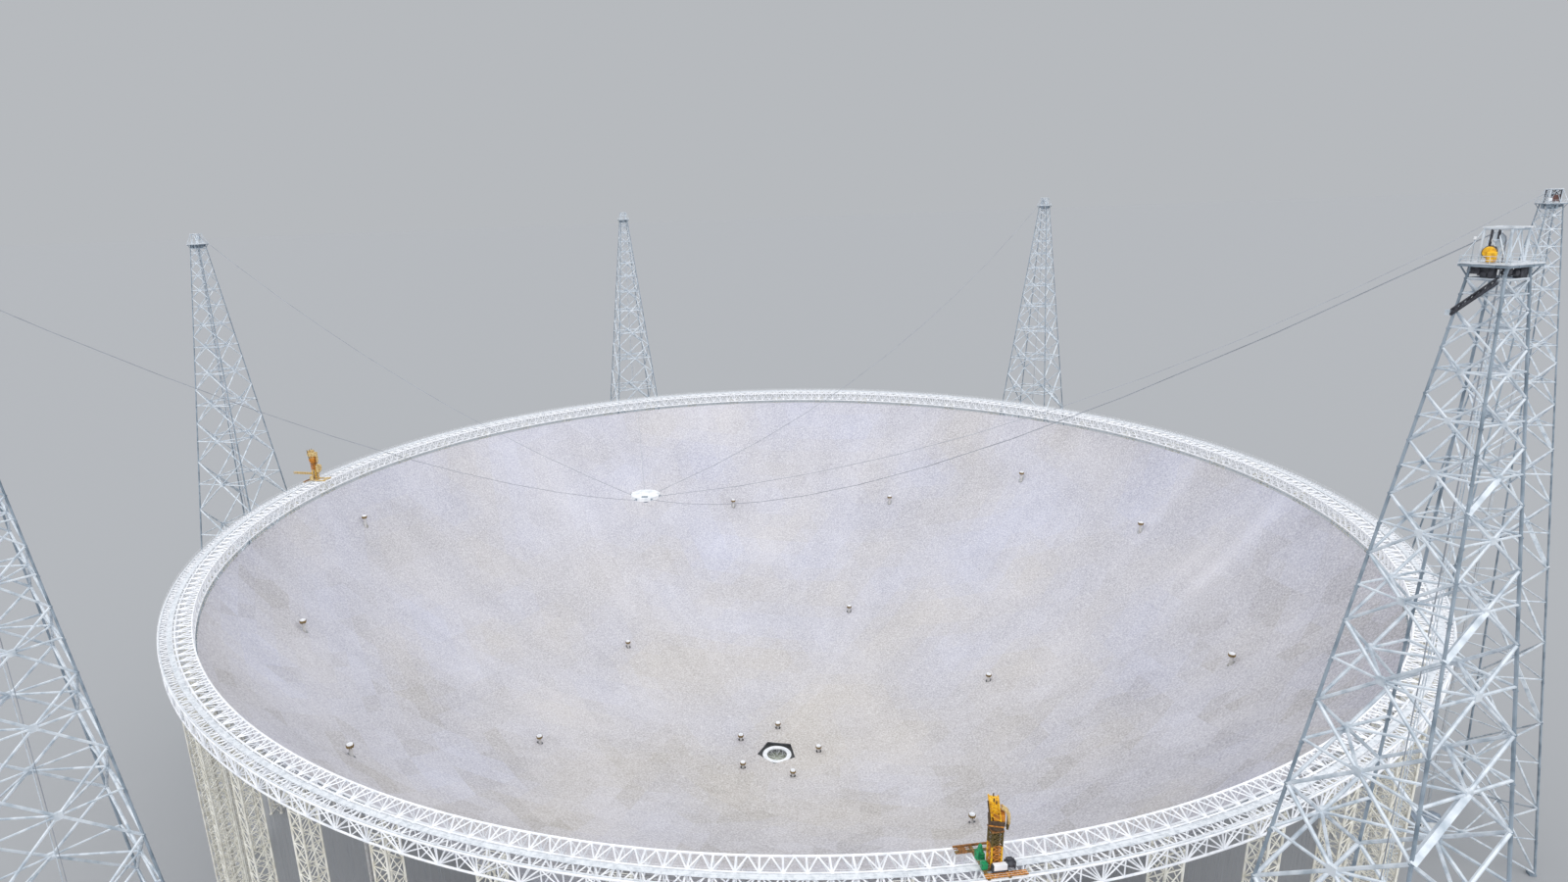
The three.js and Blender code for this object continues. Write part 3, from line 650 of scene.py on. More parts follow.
def ring_walkway():
    """One bay of the walkway, the outer toe board and their rails, and the hangers of the reflector."""
    middle = BAY_TURN / 2
    decks = begin("walkway_deck")
    for radius, width in ((WALKWAY, WALKWAY_WIDTH), (TOE_BOARD, TOE_WIDTH)):
        length = 2 * (radius - width / 2) * math.sin(middle)
        block(polar(radius, middle, RING_TOP + 0.06 * M), (width, length, 0.08 * M), middle)
    end(decks, "deck")
    rails = begin("walkway_rails")
    for radius in (WALKWAY - WALKWAY_WIDTH / 2, WALKWAY + WALKWAY_WIDTH / 2, RING_OUTER - 0.25 * M):
        for k in range(3):
            foot = polar(radius, k * BAY_TURN / 3, RING_TOP)
            bar(foot, foot + up(RAIL_HEIGHT), RAIL)
        for share in (0.5, 1):
            level = RING_TOP + share * RAIL_HEIGHT
            bar(polar(radius, 0, level), polar(radius, BAY_TURN, level), RAIL)
    end(rails, "ring")
    edge = begin("reflector_edge_channel")
    level = RING_BOTTOM - 0.7 * M
    bar(polar(RING_INNER, 0, level), polar(RING_INNER, BAY_TURN, level), 0.34 * M)
    for k in range(4):
        angle = k * BAY_TURN / 4
        hung = polar(BOWL_RADIUS, angle, RIM_HEIGHT + 0.1 * M)
        bar(polar(RING_INNER + 0.2 * M, angle, RING_BOTTOM + 0.1 * M), hung, 0.12 * M)
    end(edge, "leg")
    return join("ring_walkway", [decks, rails, edge])


def ring_column():
    """One column under the ring: four legs, crossed braces, belts, and footings."""
    top = RING_BOTTOM + CHORD / 2
    spot = Vector((RING_MIDDLE, 0, 0))
    corners = [spot + Vector((x, y, 0)) * COLUMN_HALF for x, y in SQUARE]
    rise = (top - COLUMN_START) / COLUMN_PANELS
    legs = begin("column_legs")
    for i, corner in enumerate(corners):
        bar(corner, corner + up(top), 0.6 * M, 6)
        block(corner + up(0.3 * M), (1.4 * M, 1.4 * M, 0.6 * M))
        after = corners[(i + 1) % 4]
        for level in range(COLUMN_PANELS):
            low = up(COLUMN_START + rise * level)
            high = up(COLUMN_START + rise * (level + 1))
            bar(corner + low, after + high, 0.34 * M)
            bar(after + low, corner + high, 0.34 * M)
            bar(corner + high, after + high, 0.3 * M)
    return end(legs, "column")


def ring_beam():
    """Five segments of bays with their walkways and columns."""
    bays = BAYS // SECTORS
    start = Matrix.Rotation(SECTOR_START, 4, "Z")
    truss = repeat_round(ring_bay(), bays, BAY_TURN)
    walkway = repeat_round(ring_walkway(), bays, BAY_TURN)
    columns = repeat_round(ring_column(), COLUMNS // SECTORS, TURN / COLUMNS)
    for i in range(SECTORS):
        place = Matrix.Rotation(i * SECTOR_TURN, 4, "Z") @ start
        made = copy_of(truss, f"ring_lattice_{i + 1}", place)
        ride(made, [f"ring_segment_{i + 1}"])
        ride(copy_of(walkway, f"ring_walkway_{i + 1}", place))
        ride(copy_of(columns, f"ring_columns_{i + 1}", place))
    remove(truss, walkway, columns)


# Towers

def tower_half(height):
    return TOP_HALF + TAPER * (TOWER_TOP - height)


def leg_width(height):
    """The legs are thicker in their lower part."""
    return LEG_WIDTH + LEG_GROWTH * (1 - height / TOWER_TOP)


def leg_reach(height):
    """From the tower's axis to the middle of a leg, measured along its side."""
    return tower_half(height) - leg_width(height) / 2


def tower_corner(index, height):
    x, y = SQUARE[index % 4]
    return Vector((x * leg_reach(height), y * leg_reach(height), height))


def tower_legs():
    """Four tubes in lengths that grow thicker downwards, with flanges at the joints, and footings."""
    legs = begin("tower_legs")
    levels = [DECK_LEVEL] + LEG_LEVELS
    for i in range(4):
        for high, low in zip(levels, levels[1:]):
            bar(tower_corner(i, max(low, 0.2 * M)), tower_corner(i, high), leg_width(low), 8)
            for share in (0, 0.5):
                drum(tower_corner(i, high + (low - high) * share), leg_width(low) * 0.72, 0.22 * M, 8)
        x, y = SQUARE[i]
        footing = tower_half(0) - 1.3 * M
        block((x * footing, y * footing, 0.5 * M), (2.6 * M, 2.6 * M, M))
    return end(legs, "leg")


def tower_braces():
    """Crossed braces, belts at their crossings, flat diamonds inside them, gussets and stair flights."""
    braces = begin("tower_braces")
    for i in range(4):
        bar(tower_corner(i, LEG_LEVELS[0]), tower_corner(i + 1, LEG_LEVELS[0]), 0.4 * M)
    for index, (high, low) in enumerate(zip(LEG_LEVELS, LEG_LEVELS[1:])):
        low = max(low, 1.2 * M)
        wide, narrow = leg_reach(low), leg_reach(high)
        cross = low + (high - low) * wide / (wide + narrow)
        reach = leg_reach(cross)
        diagonal = min(0.2 * M + 0.027 * (high - low), 0.85 * M)
        belt = min(0.15 * M + 0.025 * (high - low), 0.65 * M)
        middles = [Vector((x * reach, y * reach, cross)) for x, y in ((0, 1), (-1, 0), (0, -1), (1, 0))]
        for i in range(4):
            bar(tower_corner(i, low), tower_corner(i + 1, high), diagonal, 6)
            bar(tower_corner(i + 1, low), tower_corner(i, high), diagonal, 6)
            bar(tower_corner(i, cross), tower_corner(i + 1, cross), belt, 6)
            bar(middles[i], middles[(i + 1) % 4], belt, 6)
            block(middles[i], (2.4 * diagonal, 1.1 * diagonal, 2.4 * diagonal), i * math.pi / 2)
        if index in range(4, 14, 2):
            bar(tower_corner(3, low), middles[3], 2.3 * diagonal)
    return end(braces, "brace")


def tower_ladder():
    """The ladder up the middle of the tower."""
    ladder = begin("tower_ladder")
    for side in (-LADDER_HALF, LADDER_HALF):
        bar((LADDER_PLACE, side, 0), (LADDER_PLACE, side, DECK_LEVEL), 0.18 * M)
    for step in range(1, LADDER_RUNGS):
        height = DECK_LEVEL * step / LADDER_RUNGS
        bar((LADDER_PLACE, -LADDER_HALF, height), (LADDER_PLACE, LADDER_HALF, height), 0.06 * M)
    return end(ladder, "brace")


def head_deck():
    """Deck around the hatch, its rails, and the open frame over it with raking struts."""
    deck = begin("head_deck")
    rim = DECK_HALF - HATCH_HALF
    crown = CROWN_HALF - 0.2 * M
    for side in (-1, 1):
        block((side * (HATCH_HALF + rim / 2), 0, DECK_LEVEL), (rim, 2 * DECK_HALF, 0.2 * M))
        block((0, side * (HATCH_HALF + rim / 2), DECK_LEVEL), (2 * HATCH_HALF, rim, 0.2 * M))
        block((0, side * crown, TOWER_TOP - 0.1 * M), (2 * CROWN_HALF, 0.4 * M, 0.2 * M))
        block((side * crown, 0, TOWER_TOP - 0.1 * M), (0.4 * M, 2 * CROWN_HALF - 0.8 * M, 0.2 * M))
    end(deck, "deck")
    frame_bars = begin("head_frame")
    foot_level = up(DECK_LEVEL)
    top_level = up(TOWER_TOP - 0.3 * M)
    rail = DECK_HALF - 0.1 * M
    for i in range(4):
        here, after = Vector((*SQUARE[i], 0)), Vector((*SQUARE[(i + 1) % 4], 0))
        bar(here * crown + foot_level, here * crown + top_level, 0.36 * M, 6)
        bar(here * crown + top_level, after * crown + top_level, 0.4 * M)
        apex = (here + after) / 2 * crown + top_level
        bar(here * crown + foot_level, apex, 0.22 * M)
        bar(after * crown + foot_level, apex, 0.22 * M)
        bar(here * rail + foot_level, here * crown + top_level, 0.16 * M)
        for height in (HEAD_RAIL / 2, HEAD_RAIL):
            level = foot_level + up(height)
            bar(here * rail + level, after * rail + level, 0.07 * M)
        for step in range(5):
            foot = here.lerp(after, step / 5) * rail + foot_level
            bar(foot, foot + up(HEAD_RAIL), 0.07 * M)
    end(frame_bars, "brace")
    return join("head_deck", [deck, frame_bars])


def head_machinery(finish):
    """Winches, gearboxes and boxes that hang at different heights under the deck, on its beams."""
    works = begin("head_machinery")
    for x, y, width, depth, height in (
        (1.9, 1.6, 1.1, 1.5, 1.9),
        (-1.9, -2.2, 1.7, 0.8, 1.3),
        (0.6, -2.3, 0.8, 0.8, 1.8),
        (2.3, -1.9, 0.9, 0.8, 1.2),
        (-1.2, 2.3, 1.3, 0.7, 0.9),
        (-2.4, 0.4, 0.7, 1.6, 1.7),
    ):
        block((x * M, y * M, DECK_LEVEL - (0.3 + height / 2) * M), (width * M, depth * M, height * M))
    flat = (math.pi / 2, 0, 0)
    drum((0.2 * M, 1.5 * M, DECK_LEVEL - 1.5 * M), 0.6 * M, 1.1 * M, 16, flat)
    drum((-0.6 * M, -1.9 * M, DECK_LEVEL - 1.7 * M), 0.5 * M, 1 * M, 16, flat)
    drum((2.3 * M, -0.4 * M, DECK_LEVEL - 1.3 * M), 0.45 * M, 1 * M, 16, (0, math.pi / 2, 0))
    end(works, finish)
    round_off(works, 0.06 * M, 1)
    beams = begin("head_beams")
    for side in (-1, 1):
        for reach in (1.5 * M, DECK_HALF - 0.2 * M):
            block((0, side * reach, DECK_LEVEL - 0.32 * M), (2 * DECK_HALF, 0.22 * M, 0.34 * M))
            block((side * reach, 0, DECK_LEVEL - 0.28 * M), (0.22 * M, 2 * DECK_HALF, 0.34 * M))
    for i in range(4):
        brace_head = Vector((*SQUARE[i], 0)) * DECK_HALF * 0.95 + up(DECK_LEVEL - 0.2 * M)
        bar(tower_corner(i, 274.6 * M), brace_head, 0.22 * M)
    end(beams, "leg")
    return join("head_works", [works, beams])


def rope_wheel(towards):
    """The grooved wheel that the rope runs over, between two side frames. Its rope leaves along -X."""
    centre = Vector((-WHEEL_RADIUS, 0, TOWER_TOP - WHEEL_DROP))
    flat = (math.pi / 2, 0, 0)
    wheel = begin("rope_wheel")
    for side in (-1, 1):
        drum(centre + Vector((0, side * 0.17 * M, 0)), WHEEL_RADIUS * 1.08, 0.08 * M, 32, flat)
        top = centre + Vector((0, side * 1.35 * M, 0))
        bar((top.x, top.y, DECK_LEVEL), top, 0.4 * M)
        for foot in (-1.4 * M, 1.4 * M):
            bar((centre.x + foot, top.y, DECK_LEVEL), top, 0.16 * M)
    drum(centre, WHEEL_RADIUS * 0.94, 0.3 * M, 32, flat)
    drum(centre, 0.22 * M, 2.9 * M, 16, flat)
    end(wheel, "brace")
    wheel.data.transform(Matrix.Rotation(towards, 4, "Z"))
    return wheel


def deck_hoist():
    """Yellow maintenance hoist that hangs from the open frame, and the lamp beside it."""
    turn = 0.5
    centre = Vector((-0.15, -2.25, 0)) * M + up(DECK_LEVEL + 1.3 * M)
    core = centre + Vector((-0.2, 0, 0.35)) * M
    body = begin("hoist_body")
    drum(core, 0.85 * M, 1.5 * M, 20, (math.pi / 2, 0, turn))
    block(centre + Vector((0.35, -0.25, -0.3)) * M, (1.2 * M, 1.3 * M, 1.5 * M), turn)
    end(body, "yellow")
    round_off(body, 0.16 * M)
    bands = begin("hoist_bands")
    for shift in (-0.6, 0.6):
        along = Vector((math.cos(turn + math.pi / 2), math.sin(turn + math.pi / 2), 0)) * shift * M
        drum(core + along, 0.9 * M, 0.12 * M, 20, (math.pi / 2, 0, turn))
    block(centre + Vector((0.1, 0, 0.9)) * M, (0.9 * M, 0.9 * M, 0.4 * M), turn)
    for x, foot in ((-0.75, 0.9), (0.25, 2.2)):
        bar((x * M, -1.9 * M, centre.z + foot * M), (x * M, -1.85 * M, TOWER_TOP - 0.3 * M), 0.34 * M, 6)
    end(bands, "dark")
    lamp = begin("mast_lamp")
    lamp_foot = Vector((-2.5, -2.5, 0)) * M + up(DECK_LEVEL)
    drum(lamp_foot + up(3.6 * M), 0.18 * M, 0.4 * M, 12)
    end(lamp, "cap")
    pole = begin("lamp_pole")
    bar(lamp_foot, lamp_foot + up(3.4 * M), 0.1 * M)
    end(pole, "leg")
    return join("deck_hoist", [body, bands, lamp, pole])


def cable_boom():
    """The dark trussed beam that leans across the upper panels of the tower at the right."""
    boom = begin("cable_boom")
    low = tower_corner(2, 268.9 * M) + Vector((-0.1, -0.55, 0)) * M
    high = tower_corner(3, 274 * M) + Vector((-0.6, -0.55, 0)) * M
    rise = up(0.75 * M)
    bays = 7
    bar(low, high, 0.5 * M, 6)
    bar(low + rise, high + rise, 0.3 * M, 6)
    for step in range(bays):
        foot = low.lerp(high, step / bays)
        bar(foot, low.lerp(high, (step + 1) / bays) + rise, 0.22 * M)
        bar(foot, foot + rise, 0.22 * M)
    end(boom, "dark")
    shoe = begin("boom_shoe")
    block(low + Vector((-0.3, 0, 0.3)) * M, (0.7 * M, 0.7 * M, 0.8 * M))
    end(shoe, "brace")
    return join("cable_boom", [boom, shoe])


def crown_housing():
    """Rust-brown machine room and dark posts in the open frame of the tower behind the nearest one."""
    room = begin("crown_housing")
    block((0.3 * M, -0.4 * M, DECK_LEVEL + 1.7 * M), (2.6 * M, 2.6 * M, 2.4 * M))
    end(room, "primer")
    round_off(room, 0.12 * M)
    posts = begin("crown_posts")
    for x, y in SQUARE:
        foot = Vector((x * 1.6 * M, y * 1.6 * M, DECK_LEVEL))
        bar(foot, foot + up(4.9 * M), 0.45 * M)
        bar(foot + up(4.7 * M), (-x * 1.6 * M, y * 1.6 * M, DECK_LEVEL + 2.6 * M), 0.26 * M)
    end(posts, "dark")
    patch = begin("crown_hatch")
    block((-1.6 * M, -1.75 * M, DECK_LEVEL + 1.3 * M), (1.1 * M, 0.5 * M, 1.2 * M))
    end(patch, "cap")
    return join("crown_housing", [room, posts, patch])


def towers():
    """Six towers from one shaft and head, each with its wheel turned to the cabin."""
    parts = [tower_legs(), tower_braces(), tower_ladder(), head_deck()]
    shaft = join("tower_master", parts)
    for i in range(TOWERS):
        azimuth = tower_azimuth(i)
        foot = polar(TOWER_CIRCLE, azimuth)
        # The hoist tower's machinery takes the dark finish as painted shade; the other towers' takes the
        # paler leg finish.
        works = head_machinery("dark" if i == HOIST_TOWER else "leg")
        wheel = rope_wheel(cabin_azimuth(foot) - azimuth + math.pi)
        parts = [copy_of(shaft, "shaft"), works, wheel]
        if i == HOIST_TOWER:
            parts += [deck_hoist(), cable_boom()]
        if i == HOUSING_TOWER:
            parts.append(crown_housing())
        tower = join(f"lattice_tower_{i + 1}", parts)
        tower.data.transform(Matrix.Translation(foot) @ Matrix.Rotation(azimuth, 4, "Z"))
        ride(tower, [f"tower_{i + 1}"])
    remove(shaft)


# Feed cabin

def feed_cabin():
    """Round white cabin: a flat drum with a raised middle, ribs, rope lugs and the receiver under it."""
    low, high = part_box("feed_cabin")
    spot = (low + high) / 2 + up(CABIN_RAISE)
    shell = begin("cabin_shell")
    drum(spot, CABIN_RADIUS, 1.5 * M, 48)
    end(shell, "cap")
    round_off(shell, 0.3 * M, 3)
    cover = begin("cabin_cover")
    roof, belly, crown = ((6.1, 2.5), (0.7, 1.1)), ((4.6, 6.2), (-1.3, -0.7)), ((2.0, 1.7), (1.1, 1.9))
    for radii, levels in (roof, belly, crown):
        bpy.ops.mesh.primitive_cone_add(
            vertices=48,
            radius1=radii[0] * M,
            radius2=radii[1] * M,
            depth=(levels[1] - levels[0]) * M,
            location=spot + up(sum(levels) / 2 * M),
        )
    # Two round housings for the rope drums stand over the ends of the cabin.
    for side in (-1, 1):
        drum(spot + Vector((side * 4.5, 0, 1.15)) * M, 1.6 * M, 0.7 * M, 32)
    end(cover, "cap")
    trim = begin("cabin_trim")
    for height in (-0.72, 0.72):
        bpy.ops.mesh.primitive_torus_add(
            major_radius=CABIN_RADIUS,
            minor_radius=0.1 * M,
            major_segments=48,
            minor_segments=6,
            location=spot + up(height * M),
        )
    for k in range(24):
        angle = TURN * k / 24
        foot = spot + polar(CABIN_RADIUS, angle, -0.7 * M)
        bar(foot, foot + up(1.4 * M), 0.16 * M)
        bar(spot + polar(2.4 * M, angle, 1.1 * M), spot + polar(6.1 * M, angle, 0.75 * M), 0.1 * M)
    end(trim, "ring")
    horn = begin("cabin_receiver")
    mouth = spot - up(2.3 * M)
    bpy.ops.mesh.primitive_cone_add(
        vertices=32, radius1=1.1 * M, radius2=2.1 * M, depth=1.6 * M, location=mouth
    )
    for k in range(6):
        angle = TURN * k / 6
        stay_foot = spot + polar(1.3 * M, angle + 0.5, -2.7 * M)
        bar(spot + polar(4.2 * M, angle, -1.3 * M), stay_foot, 0.2 * M)
    block(spot + Vector((0.3, -4.9, 0.95)) * M, (2.8 * M, 1 * M, 0.5 * M))
    end(horn, "leg")
    lugs = begin("cabin_lugs")
    for i in range(TOWERS):
        rope = frame["nodes"][f"rope_{i + 1}"]
        corners = [rope.matrix_world @ vertex.co for vertex in rope.data.vertices]
        tip = min(corners, key=lambda corner: (corner - spot).length)
        away = math.atan2(tip.y - spot.y, tip.x - spot.x)
        block(spot + polar(6.35 * M, away), (0.6 * M, 0.8 * M, 0.9 * M), away)
        bar(spot + polar(6.2 * M, away), tip, 0.42 * M, 8)
    end(lugs, "leg")
    cabin = join("cabin_body", [shell, cover, trim, horn, lugs])
    ride(cabin, ["feed_cabin"])


# Ground pieces

def winch_house():
    """Shed with ribbed walls and gables, a shallow roof, a roller door and windows."""
    walls = begin("house_walls")
    block(up(HOUSE_RIDGE / 2), (HOUSE_LENGTH, HOUSE_WIDTH, HOUSE_RIDGE))
    for side in (-1, 1):
        bpy.ops.mesh.select_linked()
        eaves = (0, side * HOUSE_WIDTH / 2, HOUSE_WALL - 0.06 * M)
        pitch = (0, side * ROOF_SLOPE, 1)
        bpy.ops.mesh.bisect(plane_co=eaves, plane_no=pitch, use_fill=True, clear_outer=True)
    for k in range(HOUSE_RIBS):
        x = HOUSE_LENGTH * ((k + 0.5) / HOUSE_RIBS - 0.5)
        for side in (-1, 1):
            block((x, side * 4.02 * M, HOUSE_WALL / 2), (0.14 * M, 0.08 * M, HOUSE_WALL))
    end(walls, "house")
    roof = begin("house_roof")
    for side in (-1, 1):
        bpy.ops.mesh.primitive_cube_add(
            size=1,
            location=(0, side * 2.05 * M, 5.2 * M),
            rotation=(-side * math.atan(ROOF_SLOPE), 0, 0),
            scale=(HOUSE_LENGTH + 0.6 * M, 4.6 * M, 0.16 * M),
        )
    end(roof, "roof")
    openings = begin("house_openings")
    for side in (-1, 1):
        for x in (-4, -1.5, 3.5):
            block((x * M, side * 4.07 * M, 2.6 * M), (1.5 * M, 0.12 * M, 1.2 * M))
    block((6.02 * M, 0, 1.7 * M), (0.12 * M, 3.4 * M, 3.4 * M))
    end(openings, "glass")
    return join("winch_shed_master", [walls, roof, openings])


def winch_houses():
    """A shed at the middle of each tower's foot, in line with the feed cabin."""
    master = winch_house()
    for i in range(TOWERS):
        foot = polar(TOWER_CIRCLE, tower_azimuth(i))
        place = Matrix.Translation(foot) @ Matrix.Rotation(cabin_azimuth(foot) + math.pi, 4, "Z")
        shed = copy_of(master, f"winch_shed_{i + 1}", place)
        ride(shed, [f"winch_house_{i + 1}"])
    remove(master)


def docking_platform():
    """White ring on braced legs under the opening, with a round floor and thin guide rods inside."""
    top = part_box("docking_platform")[1].z
    ring = begin("docking_ring")
    bpy.ops.mesh.primitive_cylinder_add(
        vertices=64,
        radius=DOCK_RADIUS,
        depth=0.8 * M,
        end_fill_type="NOTHING",
        location=up(top - 0.4 * M),
    )
    end(ring, "cap")
    apply_modifier(ring, "SOLIDIFY", thickness=2.3 * M, offset=-1)
    round_off(ring, 0.1 * M)
    frame_parts = begin("docking_legs")
    for k in range(DOCK_LEGS):
        angle = TURN * k / DOCK_LEGS
        bar(polar(DOCK_CIRCLE, angle, 0.3 * M), polar(DOCK_CIRCLE, angle, top - 0.5 * M), 0.4 * M, 8)
        after = polar(DOCK_CIRCLE, angle + TURN / DOCK_LEGS, top - 0.8 * M)
        bar(polar(DOCK_CIRCLE, angle, 0.6 * M), after, 0.2 * M, 6)
    for k in range(6):
        angle = TURN * k / 6 + 0.2
        tip = polar(1.2 * M, angle + 0.4, top - 1.6 * M)
        bar(polar(4.5 * M, angle, top - 0.5 * M), tip, 0.16 * M, 6)
    end(frame_parts, "ring")
    pad = begin("docking_floor")
    drum(up(0.3 * M), DOCK_RADIUS, 0.6 * M, 64)
    drum(up(0.8 * M), 2.2 * M, 0.5 * M, 32)
    end(pad, "screed")
    made = join("docking_stand", [ring, frame_parts, pad])
    ride(made, ["docking_platform"])


def measuring_piers():
    """Concrete posts with a wide ochre collar, a flat white head on it and a small cover on top."""
    for name in sorted(frame["nodes"]):
        if not name.startswith("measuring_pier"):
            continue
        low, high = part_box(name)
        top = high.z
        spot = Vector(((low.x + high.x) / 2, (low.y + high.y) / 2, 0))
        post = begin("post")
        drum(spot + up((top - 1.5 * M) / 2), POST_RADIUS, top - 1.5 * M, 16)
        drum(spot + up(0.3 * M), 1.7 * M, 0.6 * M, 16)
        end(post, "concrete")
        # The collar's dark ochre is partly the ochre steel under the head and partly painted shade under
        # the white head.
        collar = begin("collar")
        drum(spot + up(top - 1.1 * M), COLLAR_RADIUS, 0.8 * M, 20)
        for k in range(8):
            rib = spot + polar(0.95 * M, TURN * k / 8, top - 1.8 * M)
            block(rib, (0.7 * M, 0.14 * M, 0.5 * M), TURN * k / 8)
        end(collar, "ochre")
        cap = begin("cap")
        drum(spot + up(top - 0.55 * M), HEAD_RADIUS, 0.5 * M, 24)
        drum(spot + up(top - 0.2 * M), POST_RADIUS, 0.4 * M, 16)
        end(cap, "cap")
        round_off(cap, 0.08 * M)
        made = join(name.replace("measuring", "instrument"), [post, collar, cap])
        ride(made, [name])


# Derricks

def path(points, width, sides=6):
    """Adds bars from point to point, given in real metres, to the piece in edit mode."""
    for start, stop in zip(points, points[1:]):
        bar(Vector(start) * M, Vector(stop) * M, width * M, sides)


def crate(low, high):
    """Adds a box between two corners, given in real metres, to the piece in edit mode."""
    low, high = Vector(low) * M, Vector(high) * M
    block((low + high) / 2, high - low)


def mast_lattice(low, high, panels, name, posts, braces):
    """Part of a square lattice mast between two levels: posts, and crossed braces with belts."""
    corners = [Vector((x * MAST_HALF, y * MAST_HALF, 0)) * 0.82 for x, y in SQUARE]
    frame_posts = begin(name + "_posts")
    for corner in corners:
        bar(corner + up(low), corner + up(high), 0.44 * M)
    end(frame_posts, posts)
    lacing = begin(name + "_lacing")
    for i, corner in enumerate(corners):
        after = corners[(i + 1) % 4]
        for level in range(panels):
            bottom = up(low + (high - low) * level / panels)
            top = up(low + (high - low) * (level + 1) / panels)
            bar(corner + bottom, after + top, 0.24 * M)
            bar(after + bottom, corner + top, 0.24 * M)
            bar(corner + top, after + top, 0.22 * M)
    end(lacing, braces)
    return [frame_posts, lacing]


def derrick_footing(index):
    """The four beams on the ring beam with the plate and the deck boards between them."""
    left, right = FOOTING_REACHES[index - 1]
    beams = begin("footing_beams")
    for y in (-2.7, 2):
        crate((-7.1, y - 0.3, 0.02), (4.1, y + 0.3, 0.6))
    crate((-1.4, -2.85, 0.05), (1.4, 2.15, 0.55))
    crate((-5.5, -left, 0.05), (-4.9, 2.1, 0.5))
    crate((3.1, -2.8, 0.05), (3.7, right, 0.5))
    end(beams, "ochre" if index == 1 else "sand")
    round_off(beams, 0.05 * M, 1)
    joists = begin("footing_joists")
    crate((-6.75, -left, 0.45), (-6.35, 2.1, 0.85))
    for x in (-5.9, -4.4):
        path([(x, -left, 0.55), (x, -2.8, 0.55)], 0.3, 4)
    for k in range(4):
        crate((-6.3, -left + 0.9 + 0.45 * k, 0.5), (-4.4, -left + 1.28 + 0.45 * k, 0.62))
    end(joists, "rust" if index == 1 else "sand")
    boards = begin("footing_boards")
    for k in range(14):
        y = -3.4 + k * (right + 3.4) / 14
        crate((2.7, y, 0.5), (4.1, y + 0.6, 0.64))
    end(boards, "orange" if index == 1 else "rust")
    return [beams, joists, boards]


def near_machines():
    """Green pumps, white cabinet, and the winch around the mast at the near side."""
    pumps = begin("pumps")
    stand = Vector((-2.4, -2.2, 2.35)) * M
    bpy.ops.mesh.primitive_cone_add(
        vertices=8, radius1=1.25 * M, radius2=0.35 * M, depth=3.5 * M, location=stand
    )
    crate((-3.4, -3.1, 0.6), (-1.5, -1.4, 2.2))
    crate((0.3, -3.4, 0.6), (1.6, -2.0, 2.2))
    drum(Vector((0.9, -2.7, 2.3)) * M, 0.45 * M, 0.5 * M, 12)
    end(pumps, "green")
    round_off(pumps, 0.15 * M)
    cabinet = begin("cabinet")
    crate((1.7, -1.1, 1.0), (2.7, 1.9, 2.4))
    end(cabinet, "ring")
    round_off(cabinet, 0.06 * M)
    winch = begin("winch")
    crate((1.6, -1.5, 0.6), (2.8, 2.0, 1.0))
    crate((1.65, -1.45, 0.95), (2.6, -1.12, 2.3))
    drum(Vector((1.6, 2.9, 1.6)) * M, 0.8 * M, 1.9 * M, 20, (math.pi / 2, 0, 0))
    for y in (1.9, 3.9):
        crate((0.9, y - 0.12, 0.6), (2.3, y + 0.12, 2.5))
    crate((0.8, 2.2, 2.1), (1.6, 3.6, 2.8))
    end(winch, "dark")
    round_off(winch, 0.05 * M, 1)
    return [pumps, cabinet, winch]


def far_machines():
    """The low arm, the yellow bracket at the inner side and a pale tank, at the far left."""
    arm = begin("low_arm")
    for y in (-0.4, 0.4):
        for z in (3.25, 4.05):
            path([(-1.3, y, z), (13.9, y, z)], 0.3, 4)
    for k in range(12):
        x = 1.4 + k * 1.04
        for y in (-0.4, 0.4):
            path([(x, y, 3.25), (x + 0.52, y, 4.05), (x + 1.04, y, 3.25)], 0.14, 4)
    crate((2.7, -0.3, 3.3), (11.5, 0.3, 4.0))
    drum(Vector((0.9, 2.4, 1.8)) * M, 1.0 * M, 2.2 * M, 16)
    end(arm, "sand")
    bracket = begin("bracket")
    path([(-1.2, 0, 3.4), (-4.0, 0, 6.2), (-4.2, 0, 8.6), (-1.3, 0, 9.2)], 0.9, 6)
    crate((-2.9, -0.9, 4.6), (-1.2, 0.9, 8.6))
    end(bracket, "sand")
    round_off(bracket, 0.1 * M, 1)
    return [arm, bracket]


